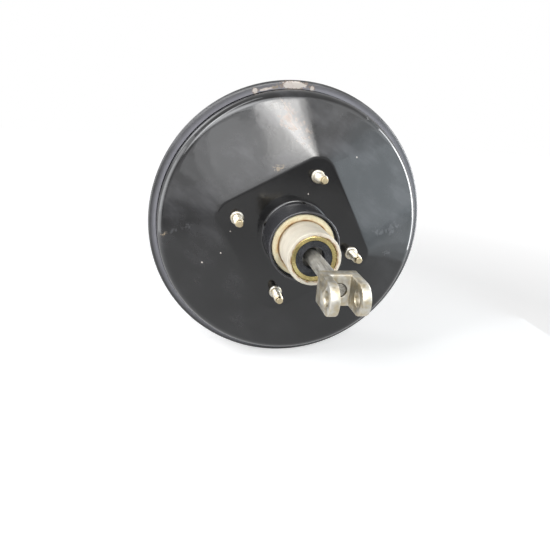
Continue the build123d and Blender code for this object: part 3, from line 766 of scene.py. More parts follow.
def black_paint():
    """Glossy black stove enamel with dust, wiped smears and a painted sheen towards the top, with scuffs, a
    rusty crease and a chipped lip.
    """
    paint = Finish("black_paint")
    tones = part_sizes("booster_colours")
    maths = paint.maths
    depth, height, radial = paint.about_axis()
    front_side = paint.spread(depth, 33 * MM, 40 * MM, 1.0, 0.5)
    smears = paint.cloud(30 * MM, detail=4.0, start=0.36, end=0.70)
    wipe = paint.stretch(millimetres(30, 30, 8), turn=radians(35))
    streaks = paint.cloud(1.0, 0.4, 1.0, spot=wipe, detail=3.0)
    # Painted sheen: the pale haze is laid thicker towards the top of the face, so the top reads lighter, and
    # kept faint on the flat pad and the neck, so these read darker
    upper = paint.spread(height, -40 * MM, 60 * MM, 0.25, 1.0)
    on_pad = paint.spread(depth, 0.2 * MM, 1.5 * MM, 0.1, 1.0)
    where = maths("MULTIPLY", front_side, maths("MULTIPLY", upper, on_pad))
    wiped_and_sheen = maths("MULTIPLY", maths("MULTIPLY", smears, streaks), where)
    lip_depth = maths("ABSOLUTE", maths("ADD", depth, reaches("front_shell")[1]))
    lip_band = paint.spread(radial, 132 * MM, 127 * MM)
    on_lip = maths("MULTIPLY", paint.spread(lip_depth, 1.2 * MM, 0.4 * MM), lip_band)
    neck_band = paint.spread(radial, 34 * MM, 30 * MM)
    on_neck = maths("MULTIPLY", neck_band, paint.spread(depth, 0.0, -4 * MM))
    caught = maths("MAXIMUM", on_lip, maths("MULTIPLY", on_neck, 0.16))
    dusty = maths("MULTIPLY", caught, paint.cloud(40 * MM, 0.85, 1.0))
    pale = paint.marks(PALE_SCUFFS, 0.7, 3.5 * MM, 0.95)
    # Real smears and pale scuffs, together with the painted sheen towards the top, in one mask
    smears_and_sheen = maths("MULTIPLY", wiped_and_sheen, paint.spread(on_lip, 0.0, 1.0, 0.42, 0.0))
    rubbed = maths("ADD", smears_and_sheen, maths("MULTIPLY", pale, 0.35))
    specks = paint.marks([(at, (size, size, size), 0) for at, size in SPECKS], 0.15, 2.5 * MM, 0.3)
    tan_marks = paint.marks(TAN_SCUFFS, 0.55, 2 * MM, 0.9)
    bloom = paint.marks([RUST_BLOOM], 0.6, 5 * MM, 0.8)
    crease = paint.stretch(millimetres(1.1, 20, 7), turn=radians(RUST_BLOOM[2]))
    lines = paint.cloud(1.0, 0.1, 1.0, spot=crease, detail=2.0)
    rust = maths("MULTIPLY", bloom, maths("MULTIPLY", lines, 0.8))
    chips = paint.marks(LIP_CHIPS, 0.16, 3.0 * MM, 0.25)
    chip_rim = paint.marks(LIP_CHIPS, 0.3, 2.2 * MM, 0.3, grow=1.18)
    bare = paint.mix(paint.cloud(4 * MM, 0.0, 0.55, start=0.5, end=0.75), tones.bare, tones.rust)
    # Pale haze over the black: real dust smears and scuffs, with a painted sheen that lightens the top
    shade = paint.mix(rubbed, tones.paint, tones.haze_and_sheen)
    shade = paint.mix(dusty, shade, tones.dust)
    shade = paint.mix(rust, shade, tones.rust)
    shade = paint.mix(specks, shade, tones.bare)
    shade = paint.mix(maths("MULTIPLY", chip_rim, 0.6), shade, tones.rust)
    shade = paint.mix(chips, shade, bare)
    shade = paint.mix(maths("MULTIPLY", tan_marks, 0.85), shade, tones.scuff)
    worn = paint.largest([maths("MULTIPLY", rubbed, 0.8), maths("MULTIPLY", rust, 0.6), tan_marks, chips])
    face_gloss = paint.spread(radial, 106 * MM, 116 * MM, 0.09, 0.05)
    pressed = maths("ADD", face_gloss, paint.cloud(9 * MM, 0.0, 0.03))
    dull = maths("ADD", pressed, paint.spread(radial, 127 * MM, 131 * MM, 0.0, 0.28))
    gloss = maths("ADD", dull, maths("MULTIPLY", worn, 0.3))
    peel = paint.bump(paint.cloud(3.2 * MM, detail=1.0, start=0.1, end=0.9), 0.012 * MM)
    flakes = paint.bump(maths("MULTIPLY", chips, -1.0), 0.12 * MM, peel)
    paint.set(Base_Color=shade, Roughness=gloss, Normal=flakes, IOR=1.5)
    return paint.material


def plated_steel(name, base, stain, low, high, spots=5.0):
    """Plated or bare steel with patchy tarnish, most of it on the tips of the studs."""
    metal = Finish(name)
    depth = add_node(metal.tree, "ShaderNodeSeparateXYZ", {0: metal.spot}).outputs["Y"]
    past_thread = metal.spread(depth, -19 * MM, -21 * MM)
    on_tip = metal.maths("MULTIPLY", past_thread, metal.spread(depth, -30 * MM, -26 * MM))
    stained_tip = metal.maths("MULTIPLY", on_tip, 0.7)
    patches = metal.maths("MAXIMUM", metal.cloud(spots * MM, 0.0, 0.55, detail=6.0), stained_tip)
    metal.set(
        Base_Color=metal.mix(patches, base, stain),
        Metallic=1.0,
        Roughness=metal.cloud(2.0 * MM, low, high),
        Normal=metal.bump(metal.cloud(1.2 * MM, detail=2.0), 0.006 * MM),
    )
    return metal.material


def drawn_steel():
    """Grey rod steel with fine lines along its length."""
    rod = Finish("drawn_steel")
    tones = part_sizes("booster_colours")
    lines = rod.cloud(1.0, spot=rod.stretch(millimetres(0.8, 20, 0.8)), detail=3.0)
    dark = shaded(tones.steel, 0.45)
    rod.set(
        Base_Color=rod.mix(rod.maths("MULTIPLY", lines, rod.cloud(7 * MM, 0.2, 0.9)), tones.steel, dark),
        Metallic=0.85,
        Roughness=rod.cloud(3 * MM, 0.38, 0.55),
        Normal=rod.bump(lines, 0.02 * MM),
    )
    return rod.material


def grimy_plastic(name, base, stained):
    """Aged plastic with rubbed lines, small dark marks, and grease and stain where it meets other pieces."""
    plastic = Finish(name)
    tones = part_sizes("booster_colours")
    maths = plastic.maths
    wear = plastic.stretch(millimetres(12, 0.7, 12))
    rubbed = plastic.cloud(1.0, spot=wear, detail=4.0, start=0.5, end=0.75)
    marks = plastic.cloud(2.2 * MM, detail=4.0, start=0.66, end=0.74)
    depth, _, radial = plastic.about_axis()
    valve = part_sizes("booster_valve")

    def from_edge(radius, reach):
        """How far a point lies from a round edge about the axis."""
        beside = maths("POWER", maths("SUBTRACT", radial, radius), 2.0)
        above = maths("POWER", maths("ADD", depth, reach), 2.0)
        return maths("SQRT", maths("ADD", beside, above))

    from_ring = from_edge(valve.ring_bore, reaches("guide_ring")[1])
    from_mouth = from_edge(valve.bore, reaches("valve_body")[1])
    ring_joint = plastic.spread(from_ring, 1.5 * MM, 0.5 * MM)
    ring_grease = maths("MULTIPLY", ring_joint, plastic.cloud(9 * MM, 0.6, 1.0))
    mouth_edge = plastic.spread(from_mouth, 1.3 * MM, 0.5 * MM)
    mouth_grease = maths("MULTIPLY", mouth_edge, plastic.cloud(5 * MM, 0.2, 0.9))
    grease = maths("MAXIMUM", ring_grease, mouth_grease)
    seeped = plastic.spread(from_ring, 4.5 * MM, 0.8 * MM)
    stain = maths("MULTIPLY", seeped, plastic.cloud(8 * MM, 0.0, stained))
    shade = plastic.mix(plastic.cloud(11 * MM, 0.0, 0.5), base, shaded(base, 0.80))
    shade = plastic.mix(maths("MULTIPLY", rubbed, 0.22), shade, tones.grime)
    shade = plastic.mix(maths("MULTIPLY", marks, 0.5), shade, tones.grime)
    shade = plastic.mix(stain, shade, tones.stain)
    shade = plastic.mix(grease, shade, tones.grime)
    plastic.set(
        Base_Color=shade,
        Roughness=plastic.cloud(4 * MM, 0.38, 0.52),
        Normal=plastic.bump(rubbed, 0.015 * MM),
    )
    return plastic.material


def moulded(name, base, low, high, grain, height):
    """Rubber, foam or plastic with a fine moulded grain and dusty tone."""
    made = Finish(name)
    dusty = [min(1.0, value * 2.6 + 0.004) for value in base[:3]] + [1.0]
    made.set(
        Base_Color=made.mix(made.cloud(6 * grain, 0.0, 0.6), base, dusty),
        Roughness=made.cloud(4 * grain, low, high),
        Normal=made.bump(made.cloud(grain, detail=2.0), height),
    )
    return made.material


def finish_for(slot):
    """The material of one of the record's slots, made once."""
    name = f"{slot}_finish"
    made = bpy.data.materials.get(name)
    if made:
        return made
    tones = part_sizes("booster_colours")
    makers = {
        "black_paint": (black_paint,),
        "zinc_steel": (plated_steel, slot, tones.zinc, tones.tarnish, 0.32, 0.48),
        "yellow_zinc": (plated_steel, slot, tones.olive, tones.tarnish, 0.22, 0.36),
        "plain_steel": (plated_steel, slot, tones.steel, tones.tarnish, 0.35, 0.5),
        "spring_steel": (plated_steel, slot, shaded(tones.steel, 0.6), tones.steel, 0.3, 0.45),
        "grey_steel": (drawn_steel,),
        "cream_plastic": (grimy_plastic, slot, tones.cream, 0.1),
        "yellowed_nylon": (grimy_plastic, slot, tones.nylon, 0.75),
        "black_rubber": (moulded, slot, tones.rubber, 0.5, 0.68, 0.6 * MM, 0.02 * MM),
        "filter_foam": (moulded, slot, tones.foam, 0.85, 0.98, 0.9 * MM, 0.4 * MM),
        "black_plastic": (moulded, slot, tones.plastic, 0.32, 0.46, 0.5 * MM, 0.015 * MM),
    }
    maker, *values = makers[slot]
    made = maker(*values)
    made.name = name
    return made


def dress(piece, node):
    """Let a finished piece stand in for a node of the frame: the finish of the node's slot, smooth shading
    and the node's body.
    """
    slot = node_slot(node)
    piece.name = f"{node}_skin"
    piece.data.materials.clear()
    piece.data.materials.append(finish_for(slot))
    piece.data.shade_smooth()
    piece.data.set_sharp_from_angle(angle=SHARP_ANGLE)
    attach(piece, frame["nodes"][node]["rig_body"])
    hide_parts(node)


# Rear shell


def stud_hole():
    """The radius of the shells' holes for the studs."""
    stud = part_sizes("booster_studs")
    return stud.collar + stud.hole_gap


def face_lines(shell, inset):
    """The straight lines of the pressed face: foot angle, pad point and the way into the pad."""
    half = shell.pad_side / 2 - inset
    corner = shell.pad_corner - inset
    middle = Vector((half - corner, half - corner))
    lines = []
    for quarter in range(4):
        ahead = shell.clock + quarter * pi / 2
        for step in range(SIDE_COLUMNS):
            share = 2 * step / SIDE_COLUMNS - 1
            foot = share * shell.side_fan / 2
            lines.append((ahead, foot, Vector((half, share * middle.y)), Vector((-1, 0))))
        for step in range(CORNER_COLUMNS):
            share = step / CORNER_COLUMNS
            out = Vector((cos(share * pi / 2), sin(share * pi / 2)))
            foot = shell.side_fan / 2 + share * (pi / 2 - shell.side_fan)
            lines.append((ahead, foot, middle + out * corner, -out))
    return lines


def dish_rows(shell, inset):
    """Rows of points over the shell's skin, from the flange to the neck's root, set back by inset."""
    rear_top = -reaches("front_shell")[1]
    wall_top = -rear_top + shell.wall_rise
    flange_reach = -rear_top - shell.sheet - inset
    bend = shell.shoulder - inset
    shoulder_r = shell.wall - shell.shoulder
    slope = pi / 2 - shell.face_slope
    foot_bend = shell.flange_bend + inset - shell.sheet
    wall = shell.wall - inset
    profile = [(shell.flange, flange_reach), (wall + foot_bend + shell.sheet, flange_reach)]
    for step in range(ARC_STEPS + 1):
        turn = step / ARC_STEPS * pi / 2
        rise = foot_bend * (1 - cos(turn))
        profile.append((wall + foot_bend * (1 - sin(turn)), flange_reach + rise))
    for step in range(SHOULDER_STEPS + 1):
        turn = step / SHOULDER_STEPS * slope
        profile.append((shoulder_r + bend * cos(turn), wall_top + bend * sin(turn)))
    columns = []
    for ahead, foot, pad, inward in face_lines(shell, inset * tan(shell.face_slope / 2)):
        turn = ahead + foot
        column = [place(radius, reach, turn) for radius, reach in profile]
        start = column[-1]
        edge = place(pad.length, -inset, ahead + atan2(pad.y, pad.x))
        way = place(1.0, 0.0, ahead + atan2(inward.y, inward.x))
        bend_start = edge + (start - edge).normalized() * shell.pad_edge
        bend_end = edge + way * shell.pad_edge
        for step in range(1, FACE_STEPS + 1):
            share = step / FACE_STEPS
            point = start.lerp(bend_start, share)
            wave = noise.noise(point / shell.ripple_length) * sin(pi * share)
            column.append(point + Vector((0, shell.ripple * wave, 0)))
        for step in range(1, PAD_EDGE_STEPS + 1):
            share = step / PAD_EDGE_STEPS
            column.append(bend_start.lerp(edge, share).lerp(edge.lerp(bend_end, share), share))
        root = place(shell.neck + shell.neck_root, -inset, turn)
        pad_shares = (0.06, 0.3, 0.6, 0.94, 1.0)
        column += [bend_end.lerp(root, share) for share in pad_shares]
        columns.append(column)
    return [list(row) for row in zip(*columns)]


class BOOSTER_OT_rear_shell(bpy.types.Operator):
    """Press the rear shell: shoulder, face from circle to square, pad and neck"""

    bl_idname = "booster.rear_shell"
    bl_label = "Rear Shell"

    def execute(self, context):
        shell = part_sizes("booster_shells")
        neck_top = reaches("rear_shell")[1]
        bore = shell.neck - shell.sheet
        turns = [ahead + foot for ahead, foot, pad, inward in face_lines(shell, 0.0)]
        inner_root = shell.neck_root + shell.sheet
        neck = []
        for step in range(1, NECK_STEPS + 1):
            turn = step / NECK_STEPS * pi / 2
            rise = shell.neck_root * (1 - cos(turn))
            neck.append((shell.neck + shell.neck_root * (1 - sin(turn)), rise))
        edge = rounded(
            [
                (shell.neck, shell.neck_root, 0),
                (shell.neck, neck_top, shell.neck_edge),
                (bore, neck_top, shell.neck_edge / 2),
                (bore, shell.neck_root, 0),
            ]
        )
        neck += [tuple(point) for point in edge[1:]]
        for step in range(1, NECK_STEPS):
            turn = pi / 2 * (1 - step / NECK_STEPS)
            rise = inner_root * (1 - cos(turn))
            neck.append((bore + inner_root * (1 - sin(turn)), rise - shell.sheet))
        neck_rows = [[place(radius, reach, turn) for turn in turns] for radius, reach in neck]
        rows = dish_rows(shell, 0.0) + neck_rows + dish_rows(shell, shell.sheet)[::-1]
        width = len(turns)
        verts = [point for row in rows for point in row]
        faces = grid_faces([list(range(k * width, (k + 1) * width)) for k in range(len(rows))])
        piece = new_piece("rear_shell", verts, faces)
        mount = MOUNTS["firewall_studs"]["dims"]
        circle = mount["pcd_mm"] * MM / 2
        past = 4 * shell.sheet
        holes = []
        for corner in range(mount["count"]):
            turn = shell.clock + pi / 4 + corner * pi / 2
            holes.append(drill(stud_hole(), -past, past, circle * cos(turn), circle * sin(turn)))
        carve(piece, holes)
        dress(piece, "rear_shell")
        return {"FINISHED"}


# Front shell


def offset_path(points, distance):
    """A path's points moved square to it, to the side of its sheet."""
    moved = []
    for index, point in enumerate(points):
        before = points[max(index - 1, 0)]
        after = points[min(index + 1, len(points) - 1)]
        along = (after - before).normalized()
        moved.append(point + Vector((along.y, -along.x)) * distance)
    return moved


def subdivided(points, step, low, high):
    """A path with extra points on its runs between two radii."""
    fine = []
    for point, after in zip(points, points[1:] + points[-1:]):
        fine.append(point)
        middle = (point.x + after.x) / 2
        count = int((after - point).length / step)
        if low < middle < high and count > 1:
            fine += [point.lerp(after, k / count) for k in range(1, count)]
    return fine


class BOOSTER_OT_front_shell(bpy.types.Operator):
    """Press the front shell: crimped lip, wall, cone, boss and vacuum port pad"""

    bl_idname = "booster.front_shell"
    bl_label = "Front Shell"

    def execute(self, context):
        shell = part_sizes("booster_shells")
        front, lip_top = reaches("front_shell")
        step_under = lip_top - shell.step_depth
        corners = [
            (shell.lip, lip_top, 0),
            (shell.rim, lip_top, shell.lip_bend),
            (shell.rim, step_under, shell.lip_bend),
            (shell.front_wall, step_under, shell.sheet / 2),
            (shell.front_corner, front + shell.cone, shell.front_round),
            (shell.boss + shell.boss_flank, front + shell.boss_height, shell.boss_foot),
            (shell.boss, front, shell.boss_edge),
            (shell.front_hole, front, 0),
        ]
        port_x, port_z = port_place()
        pitch = hypot(port_x, port_z)
        reach_out = shell.port_pad + shell.port_flank
        bend_steps = 10
        row_step = 1.1 * MM
        outer = subdivided(rounded(corners, bend_steps), row_step, pitch - reach_out, pitch + reach_out)
        inner = offset_path(outer, shell.sheet)

        # Columns stand closer together where they cross the port's pad
        port_turn = atan2(port_z, port_x)
        spread = 1.25 * reach_out / pitch
        fine_columns = 96
        coarse_columns = 280
        rest = 2 * pi - 2 * spread
        turns = [port_turn + spread * (2 * k / fine_columns - 1) for k in range(fine_columns)]
        turns += [port_turn + spread + rest * k / coarse_columns for k in range(coarse_columns)]
        verts, faces = sweep_round(outer + inner[::-1], turns)
        pad_y = -front - shell.port_sink
        for index, point in enumerate(verts):
            depth = 0.0 if index < len(outer) * len(turns) else shell.sheet
            away = hypot(point.x - port_x, point.z - port_z)
            if away < reach_out and point.y > pad_y / 2:
                share = min(1.0, (reach_out - away) / shell.port_flank)
                share = share * share * (3 - 2 * share)
                point.y += (pad_y - depth - point.y) * share
        piece = new_piece("front_shell", verts, faces)
        mount = MOUNTS["master_cylinder_studs"]["dims"]
        sides = [side * mount["pcd_mm"] * MM / 2 for side in (-1, 1)]
        past = 3 * shell.sheet
        holes = [drill(stud_hole(), front - past, front + past, side) for side in sides]
        holes.append(drill(shell.port_hole, -pad_y - past, -pad_y + past, port_x, port_z))
        carve(piece, holes)
        dress(piece, "front_shell")
        return {"FINISHED"}


# Studs


class BOOSTER_OT_studs(bpy.types.Operator):
    """Set the firewall studs and the master cylinder studs, with their threads"""

    bl_idname = "booster.studs"
    bl_label = "Studs"

    def execute(self, context):
        shell = part_sizes("booster_shells")
        front = reaches("front_shell")[0]
        sets = [
            ("firewall_studs", 0.0, reaches("firewall_studs")[1], 0.0, shell.clock + pi / 4),
            ("master_cylinder_studs", front, front - reaches("master_cylinder_studs")[0], pi, 0.0),
        ]
        for node, face, tip, facing, first in sets:
            self.add_studs(node, face, tip, facing, first)
        return {"FINISHED"}

    def add_studs(self, node, face, tip, facing, first):
        """One group of studs around the axis."""
        stud = part_sizes("booster_studs")
        dims = MOUNTS[node]["dims"]
        radius = dims["stud_r_mm"] * MM
        core = radius - stud.thread_depth
        back = -part_sizes("booster_shells").sheet - stud.plate
        dog_start = tip - stud.dog_length
        body = turned(
            "stud_body",
            [
                (0, back - stud.head_height, 0),
                (stud.head, back - stud.head_height, stud.chamfer),
                (stud.head, back, stud.chamfer),
                (stud.collar, back, 0),
                (stud.collar, stud.seat, 0),
                (stud.flange, stud.seat, 0),
                (stud.flange, stud.collar_rise, stud.collar_round),
                (core, stud.collar_rise, 0),
                (core, dog_start, 0),
                (stud.dog, dog_start + stud.chamfer, 0),
                (stud.dog, tip, stud.chamfer),
                (0, tip, 0),
            ],
        )
        piece = threaded(
            node,
            {
                "Body": body,
                "Count": dims["count"],
                "Circle Radius": dims["pcd_mm"] * MM / 2,
                "First Angle": first,
                "Face": face,
                "Facing": facing,
                "Thread Radius": radius,
                "Thread Depth": stud.thread_depth,
                "Thread Pitch": stud.thread_pitch,
                "Thread Start": stud.collar_rise - stud.chamfer / 2,
                "Thread Length": dog_start - stud.collar_rise + stud.chamfer / 2,
                "Finish": finish_for(node_slot(node)),
            },
        )
        dress(piece, node)


# Neck pack and valve body


class BOOSTER_OT_neck_pack(bpy.types.Operator):
    """Turn the guide ring and the rubber seal around it"""

    bl_idname = "booster.neck_pack"
    bl_label = "Neck Pack"

    def execute(self, context):
        valve = part_sizes("booster_valve")
        low, high = reaches("guide_ring")
        outer = far_radius("guide_ring")
        edge = valve.ring_round
        ring = turned(
            "guide_ring",
            [
                (valve.ring_bore, low, edge),
                (outer, low, edge),
                (outer, high, edge),
                (valve.ring_bore, high, edge),
            ],
        )
        dress(ring, "guide_ring")
        front, top = reaches("neck_seal")
        seal_r = far_radius("neck_seal")
        gap = 0.05 * MM
        heel_height = 4.4 * MM
        heel_wall = 2.8 * MM
        lip_gap = 0.15 * MM
        lip_lean = 1.4 * MM
        soft = 0.4 * MM
        seat = low - gap
        heel = seat - heel_height
        lip = valve.tube + lip_gap
        seal = turned(
            "neck_seal",
            [
                (seal_r, front, soft),
                (seal_r, top, soft),
                (valve.sleeve, top, soft),
                (valve.sleeve, seat, 0),
                (lip, seat, 0),
                (lip, heel, soft),
                (seal_r - heel_wall, heel, soft),
                (lip, front + lip_lean, 0.2 * MM),
                (lip + lip_lean, front, 0.3 * MM),
            ],
        )
        dress(seal, "neck_seal")
        return {"FINISHED"}


class BOOSTER_OT_valve_mouth(bpy.types.Operator):
    """Turn the filter and its clip in the mouth of the valve body, and the valve body itself"""

    bl_idname = "booster.valve_mouth"
    bl_label = "Valve Mouth"

    def execute(self, context):
        self.add_valve_body()
        self.add_filter()
        return {"FINISHED"}

    def add_valve_body(self):
        """The tube, hub, barb, flange and valve seat, with its key slot and passages."""
        valve = part_sizes("booster_valve")
        nose, end = reaches("valve_body")
        flange = far_radius("valve_body")
        hub_rear, hub_step, hub_front = (reach * MM for reach in (-10, -20, -27))
        hub, barb, boss = (radius * MM for radius in (30.0, 31.5, 26.5))
        seat, seat_inner, floor, seat_top = (value * MM for value in (14.8, 13.6, 18.0, 22.3))
        disc, disc_floor, plunger = (value * MM for value in (13.2, -17.0, 9.0))
        barb_rise = 1.4 * MM
        passage = 1.9 * MM
        passage_pitch = 16.6 * MM
        play = 0.3 * MM
        soft = 0.4 * MM
        body = turned(
            "valve_body",
            [
                (valve.bore, end, valve.mouth_round / 2),
                (valve.tube, end, valve.mouth_round),
                (valve.tube, hub_rear, soft),
                (hub, hub_rear, soft),
                (barb, hub_rear - barb_rise, 0),
                (barb, hub_rear - 2 * barb_rise, 0),
                (hub, hub_rear - 2 * barb_rise, 0),
                (hub, hub_step, soft),
                (flange, hub_step, soft),
                (flange, hub_front, soft),
                (boss, hub_front, soft),
                (boss, nose, soft),
                (disc, nose, soft),
                (disc, disc_floor, soft),
                (plunger, disc_floor, soft),
                (plunger, floor, soft),
                (seat_inner, floor, 0),
                (seat_inner, seat_top, 0),
                (seat, seat_top, 0),
                (seat, floor, 0),
                (valve.bore, floor, soft),
            ],
        )
        key_low, key_high = reaches("stop_key")
        key_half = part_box("stop_key")[1].z + play
        slot = prism(
            "slot",
            [(-hub, -key_half), (hub, -key_half), (hub, key_half), (-hub, key_half)],
            key_low - play,
            key_high + play,
            along_axis,
        )
        cutters = [slot]
        for side in (-1, 1):
            cutters.append(drill(passage, nose - MM, floor + MM, 0.0, side * passage_pitch))
        carve(body, cutters)
        dress(body, "valve_body")

    def add_filter(self):
        """The foam washer and the rolled clip in front of it."""
        valve = part_sizes("booster_valve")
        low, high = reaches("filter_retainer")
        outer = far_radius("filter_retainer")
        sheet = valve.clip_sheet
        clip = turned(
            "filter_retainer",
            [
                (outer, low, sheet / 4),
                (outer, high - valve.clip_dish / 2, sheet / 5),
                (outer - valve.clip_dish, high, sheet / 3),
                (valve.clip_hole, high - valve.clip_dish, sheet / 8),
                (valve.clip_hole, high - sheet, sheet / 8),
                (outer - sheet, high - sheet, sheet / 4),
                (outer - sheet, low, sheet / 4),
            ],
        )
        dress(clip, "filter_retainer")
        front, face = reaches("air_filter")
        foam_r = far_radius("air_filter")
        rings = 26
        outline = [Vector((valve.foam_hole, front)), Vector((foam_r, front))]
        width = valve.foam_hole - foam_r
        outline += [Vector((foam_r + width * k / rings, face)) for k in range(rings + 1)]
        verts, faces = sweep_round(outline)
        coarse_cell = 1.4 * MM
        fine_cell = 0.6 * MM
        for point in verts:
            if -point.y > face - MM:
                nap = noise.noise(point / coarse_cell) + noise.noise(point / fine_cell) / 2
                point.y += valve.foam_nap * (1 + nap)
        dress(new_piece("air_filter", verts, faces), "air_filter")


# Rods


class BOOSTER_OT_pedal_rod(bpy.types.Operator):
    """Turn the input rod with its thread, and make the lock nut and the clevis"""

    bl_idname = "booster.pedal_rod"
    bl_label = "Pedal Rod"

    def execute(self, context):
        self.add_rod()
        self.add_nut()
        self.add_clevis()
        return {"FINISHED"}

    def add_rod(self):
        """The rod with its ball, spring collar and threaded end."""
        rod = part_sizes("booster_rods")
        end = reaches("input_rod")[1]
        core = rod.thread - rod.thread_depth
        soft = 0.3 * MM
        neck_turn = 0.72
        ball_steps = 14
        ball = []
        for step in range(ball_steps + 1):
            turn = (pi - neck_turn) * step / ball_steps
            ball.append(Vector((rod.ball * sin(turn), rod.ball_reach - rod.ball * cos(turn))))
        stem = rounded(
            [
                (0, rod.ball_reach, 0),
                (rod.neck, rod.ball_reach + rod.ball * cos(neck_turn), 0),
                (rod.neck, rod.neck_end, soft),
                (rod.rod, rod.neck_end + MM, soft),
                (rod.rod, rod.collar_reach, soft),
                (rod.collar, rod.collar_reach, soft),
                (rod.collar, rod.collar_reach + rod.collar_length, soft),
                (rod.rod, rod.collar_reach + rod.collar_length, soft),
                (rod.rod, rod.thread_start - MM, soft),
                (core, rod.thread_start, soft),
                (core, end, soft),
                (0, end, 0),
            ]
        )
        body = new_piece("rod_body", *sweep_round(ball + stem[1:]))
        piece = threaded(
            "input_rod",
            {
                "Body": body,
                "Count": 1,
                "Circle Radius": 0.0,
                "First Angle": 0.0,
                "Face": 0.0,
                "Facing": 0.0,
                "Thread Radius": rod.thread,
                "Thread Depth": rod.thread_depth,
                "Thread Pitch": rod.thread_pitch,
                "Thread Start": rod.thread_start,
                "Thread Length": end - rod.thread_start - MM / 5,
                "Finish": finish_for(node_slot("input_rod")),
            },
        )
        dress(piece, "input_rod")

    def add_nut(self):
        """A hexagon nut with turned-down corners."""
        rod = part_sizes("booster_rods")
        low, high = reaches("clevis_lock_nut")
        nut = hexagon(rod.nut_flats, low, high)
        across = rod.nut_flats / 2
        crown = 0.9 * MM
        slope = crown / tan(radians(30))
        trim = turned(
            "trim",
            [
                (0, low, 0),
                (across, low, 0),
                (across + slope, low + crown, 0),
                (across + slope, high - crown, 0),
                (across, high, 0),
                (0, high, 0),
            ],
        )
        carve(nut, [trim], "INTERSECT")
        carve(nut, [drill(rod.thread, low - MM, high + MM)])
        soften(nut, 0.2 * MM)
        dress(nut, "clevis_lock_nut")

    def add_clevis(self):
        """A fork with round ears, the pedal pin's hole and the screwed base."""
        rod = part_sizes("booster_rods")
        front, end = reaches("clevis")
        low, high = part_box("clevis")
        half = high.z
        pin_reach = end - half
        steps = 40
        outline = [(front, half), (front, -half)]
        for step in range(steps + 1):
            turn = pi * step / steps
            outline.append((pin_reach + half * sin(turn), -half * cos(turn)))

        def beside(reach, up, across):
            return Vector((across, -reach, up))

        fork = prism("clevis", outline, low.x, high.x, beside)
        slot_start = front + rod.clevis_base
        slot_half = rod.clevis_slot / 2
        past = end + MM
        slot = prism(
            "slot",
            [(slot_start, -half - MM), (past, -half - MM), (past, half + MM), (slot_start, half + MM)],
            -slot_half,
            slot_half,
            beside,
        )
        pin_r = MOUNTS["pedal_pin_bore"]["dims"]["r_mm"] * MM
        hole = [(pin_reach + pin_r * cos(turn), pin_r * sin(turn)) for turn in even_turns(steps)]
        pin_hole = prism("pin_hole", hole, low.x - MM, high.x + MM, beside)
        carve(fork, [slot, pin_hole, drill(rod.thread, front - MM, slot_start + MM)])
        soften(fork, rod.clevis_edge)
        dress(fork, "clevis")


class BOOSTER_OT_output_rod(bpy.types.Operator):
    """Turn the output rod, its adjuster and the seal that it slides through"""

    bl_idname = "booster.output_rod"
    bl_label = "Output Rod"

    def execute(self, context):
        rods = part_sizes("booster_rods")
        shell = part_sizes("booster_shells")
        tip, back = reaches("output_rod")
        head = far_radius("output_rod")
        head_gap = 0.3 * MM
        head_front = reaches("valve_body")[0] + head_gap
        soft = 0.4 * MM
        screw_r = 3.0 * MM
        hole_r = 3.05 * MM
        hole_end = tip + 10.3 * MM
        rod = turned(
            "output_rod",
            [
                (0, hole_end, 0),
                (hole_r, hole_end, 0),
                (hole_r, tip, soft / 2),
                (rods.output, tip, soft),
                (rods.output, head_front, soft),
                (head, head_front, soft),
                (head, back, soft),
                (0, back, 0),
            ],
        )
        dress(rod, "output_rod")
        nose_tip, thread_end = reaches("output_adjuster")
        head_base = tip - rods.adjuster_head
        adjuster = hexagon(rods.adjuster_flats, head_base, tip)
        soften(adjuster, 0.25 * MM)
        stem = turned(
            "stem",
            [
                (0, nose_tip, 0),
                (rods.adjuster_nose, nose_tip, 2.0 * MM),
                (rods.adjuster_nose, tip - MM, 0),
                (screw_r, tip - MM, 0),
                (screw_r, thread_end, soft),
                (0, thread_end, 0),
            ],
        )
        carve(adjuster, [stem], "UNION")
        dress(adjuster, "output_adjuster")
        front, rear = reaches("front_seal")
        flange = far_radius("front_seal")
        flange_height = 3.0 * MM
        lip_gap = 0.15 * MM
        hole_gap = 0.05 * MM
        nose_round = 0.6 * MM
        seat = rear - flange_height
        lip = rods.output + lip_gap
        inner = shell.front_hole - hole_gap
        seal = turned(
            "front_seal",
            [
                (lip, front, nose_round),
                (inner, front, nose_round),
                (inner, seat, 0),
                (flange, seat, soft),
                (flange, rear, soft),
                (lip, rear, soft),
            ],
        )
        dress(seal, "front_seal")
        return {"FINISHED"}


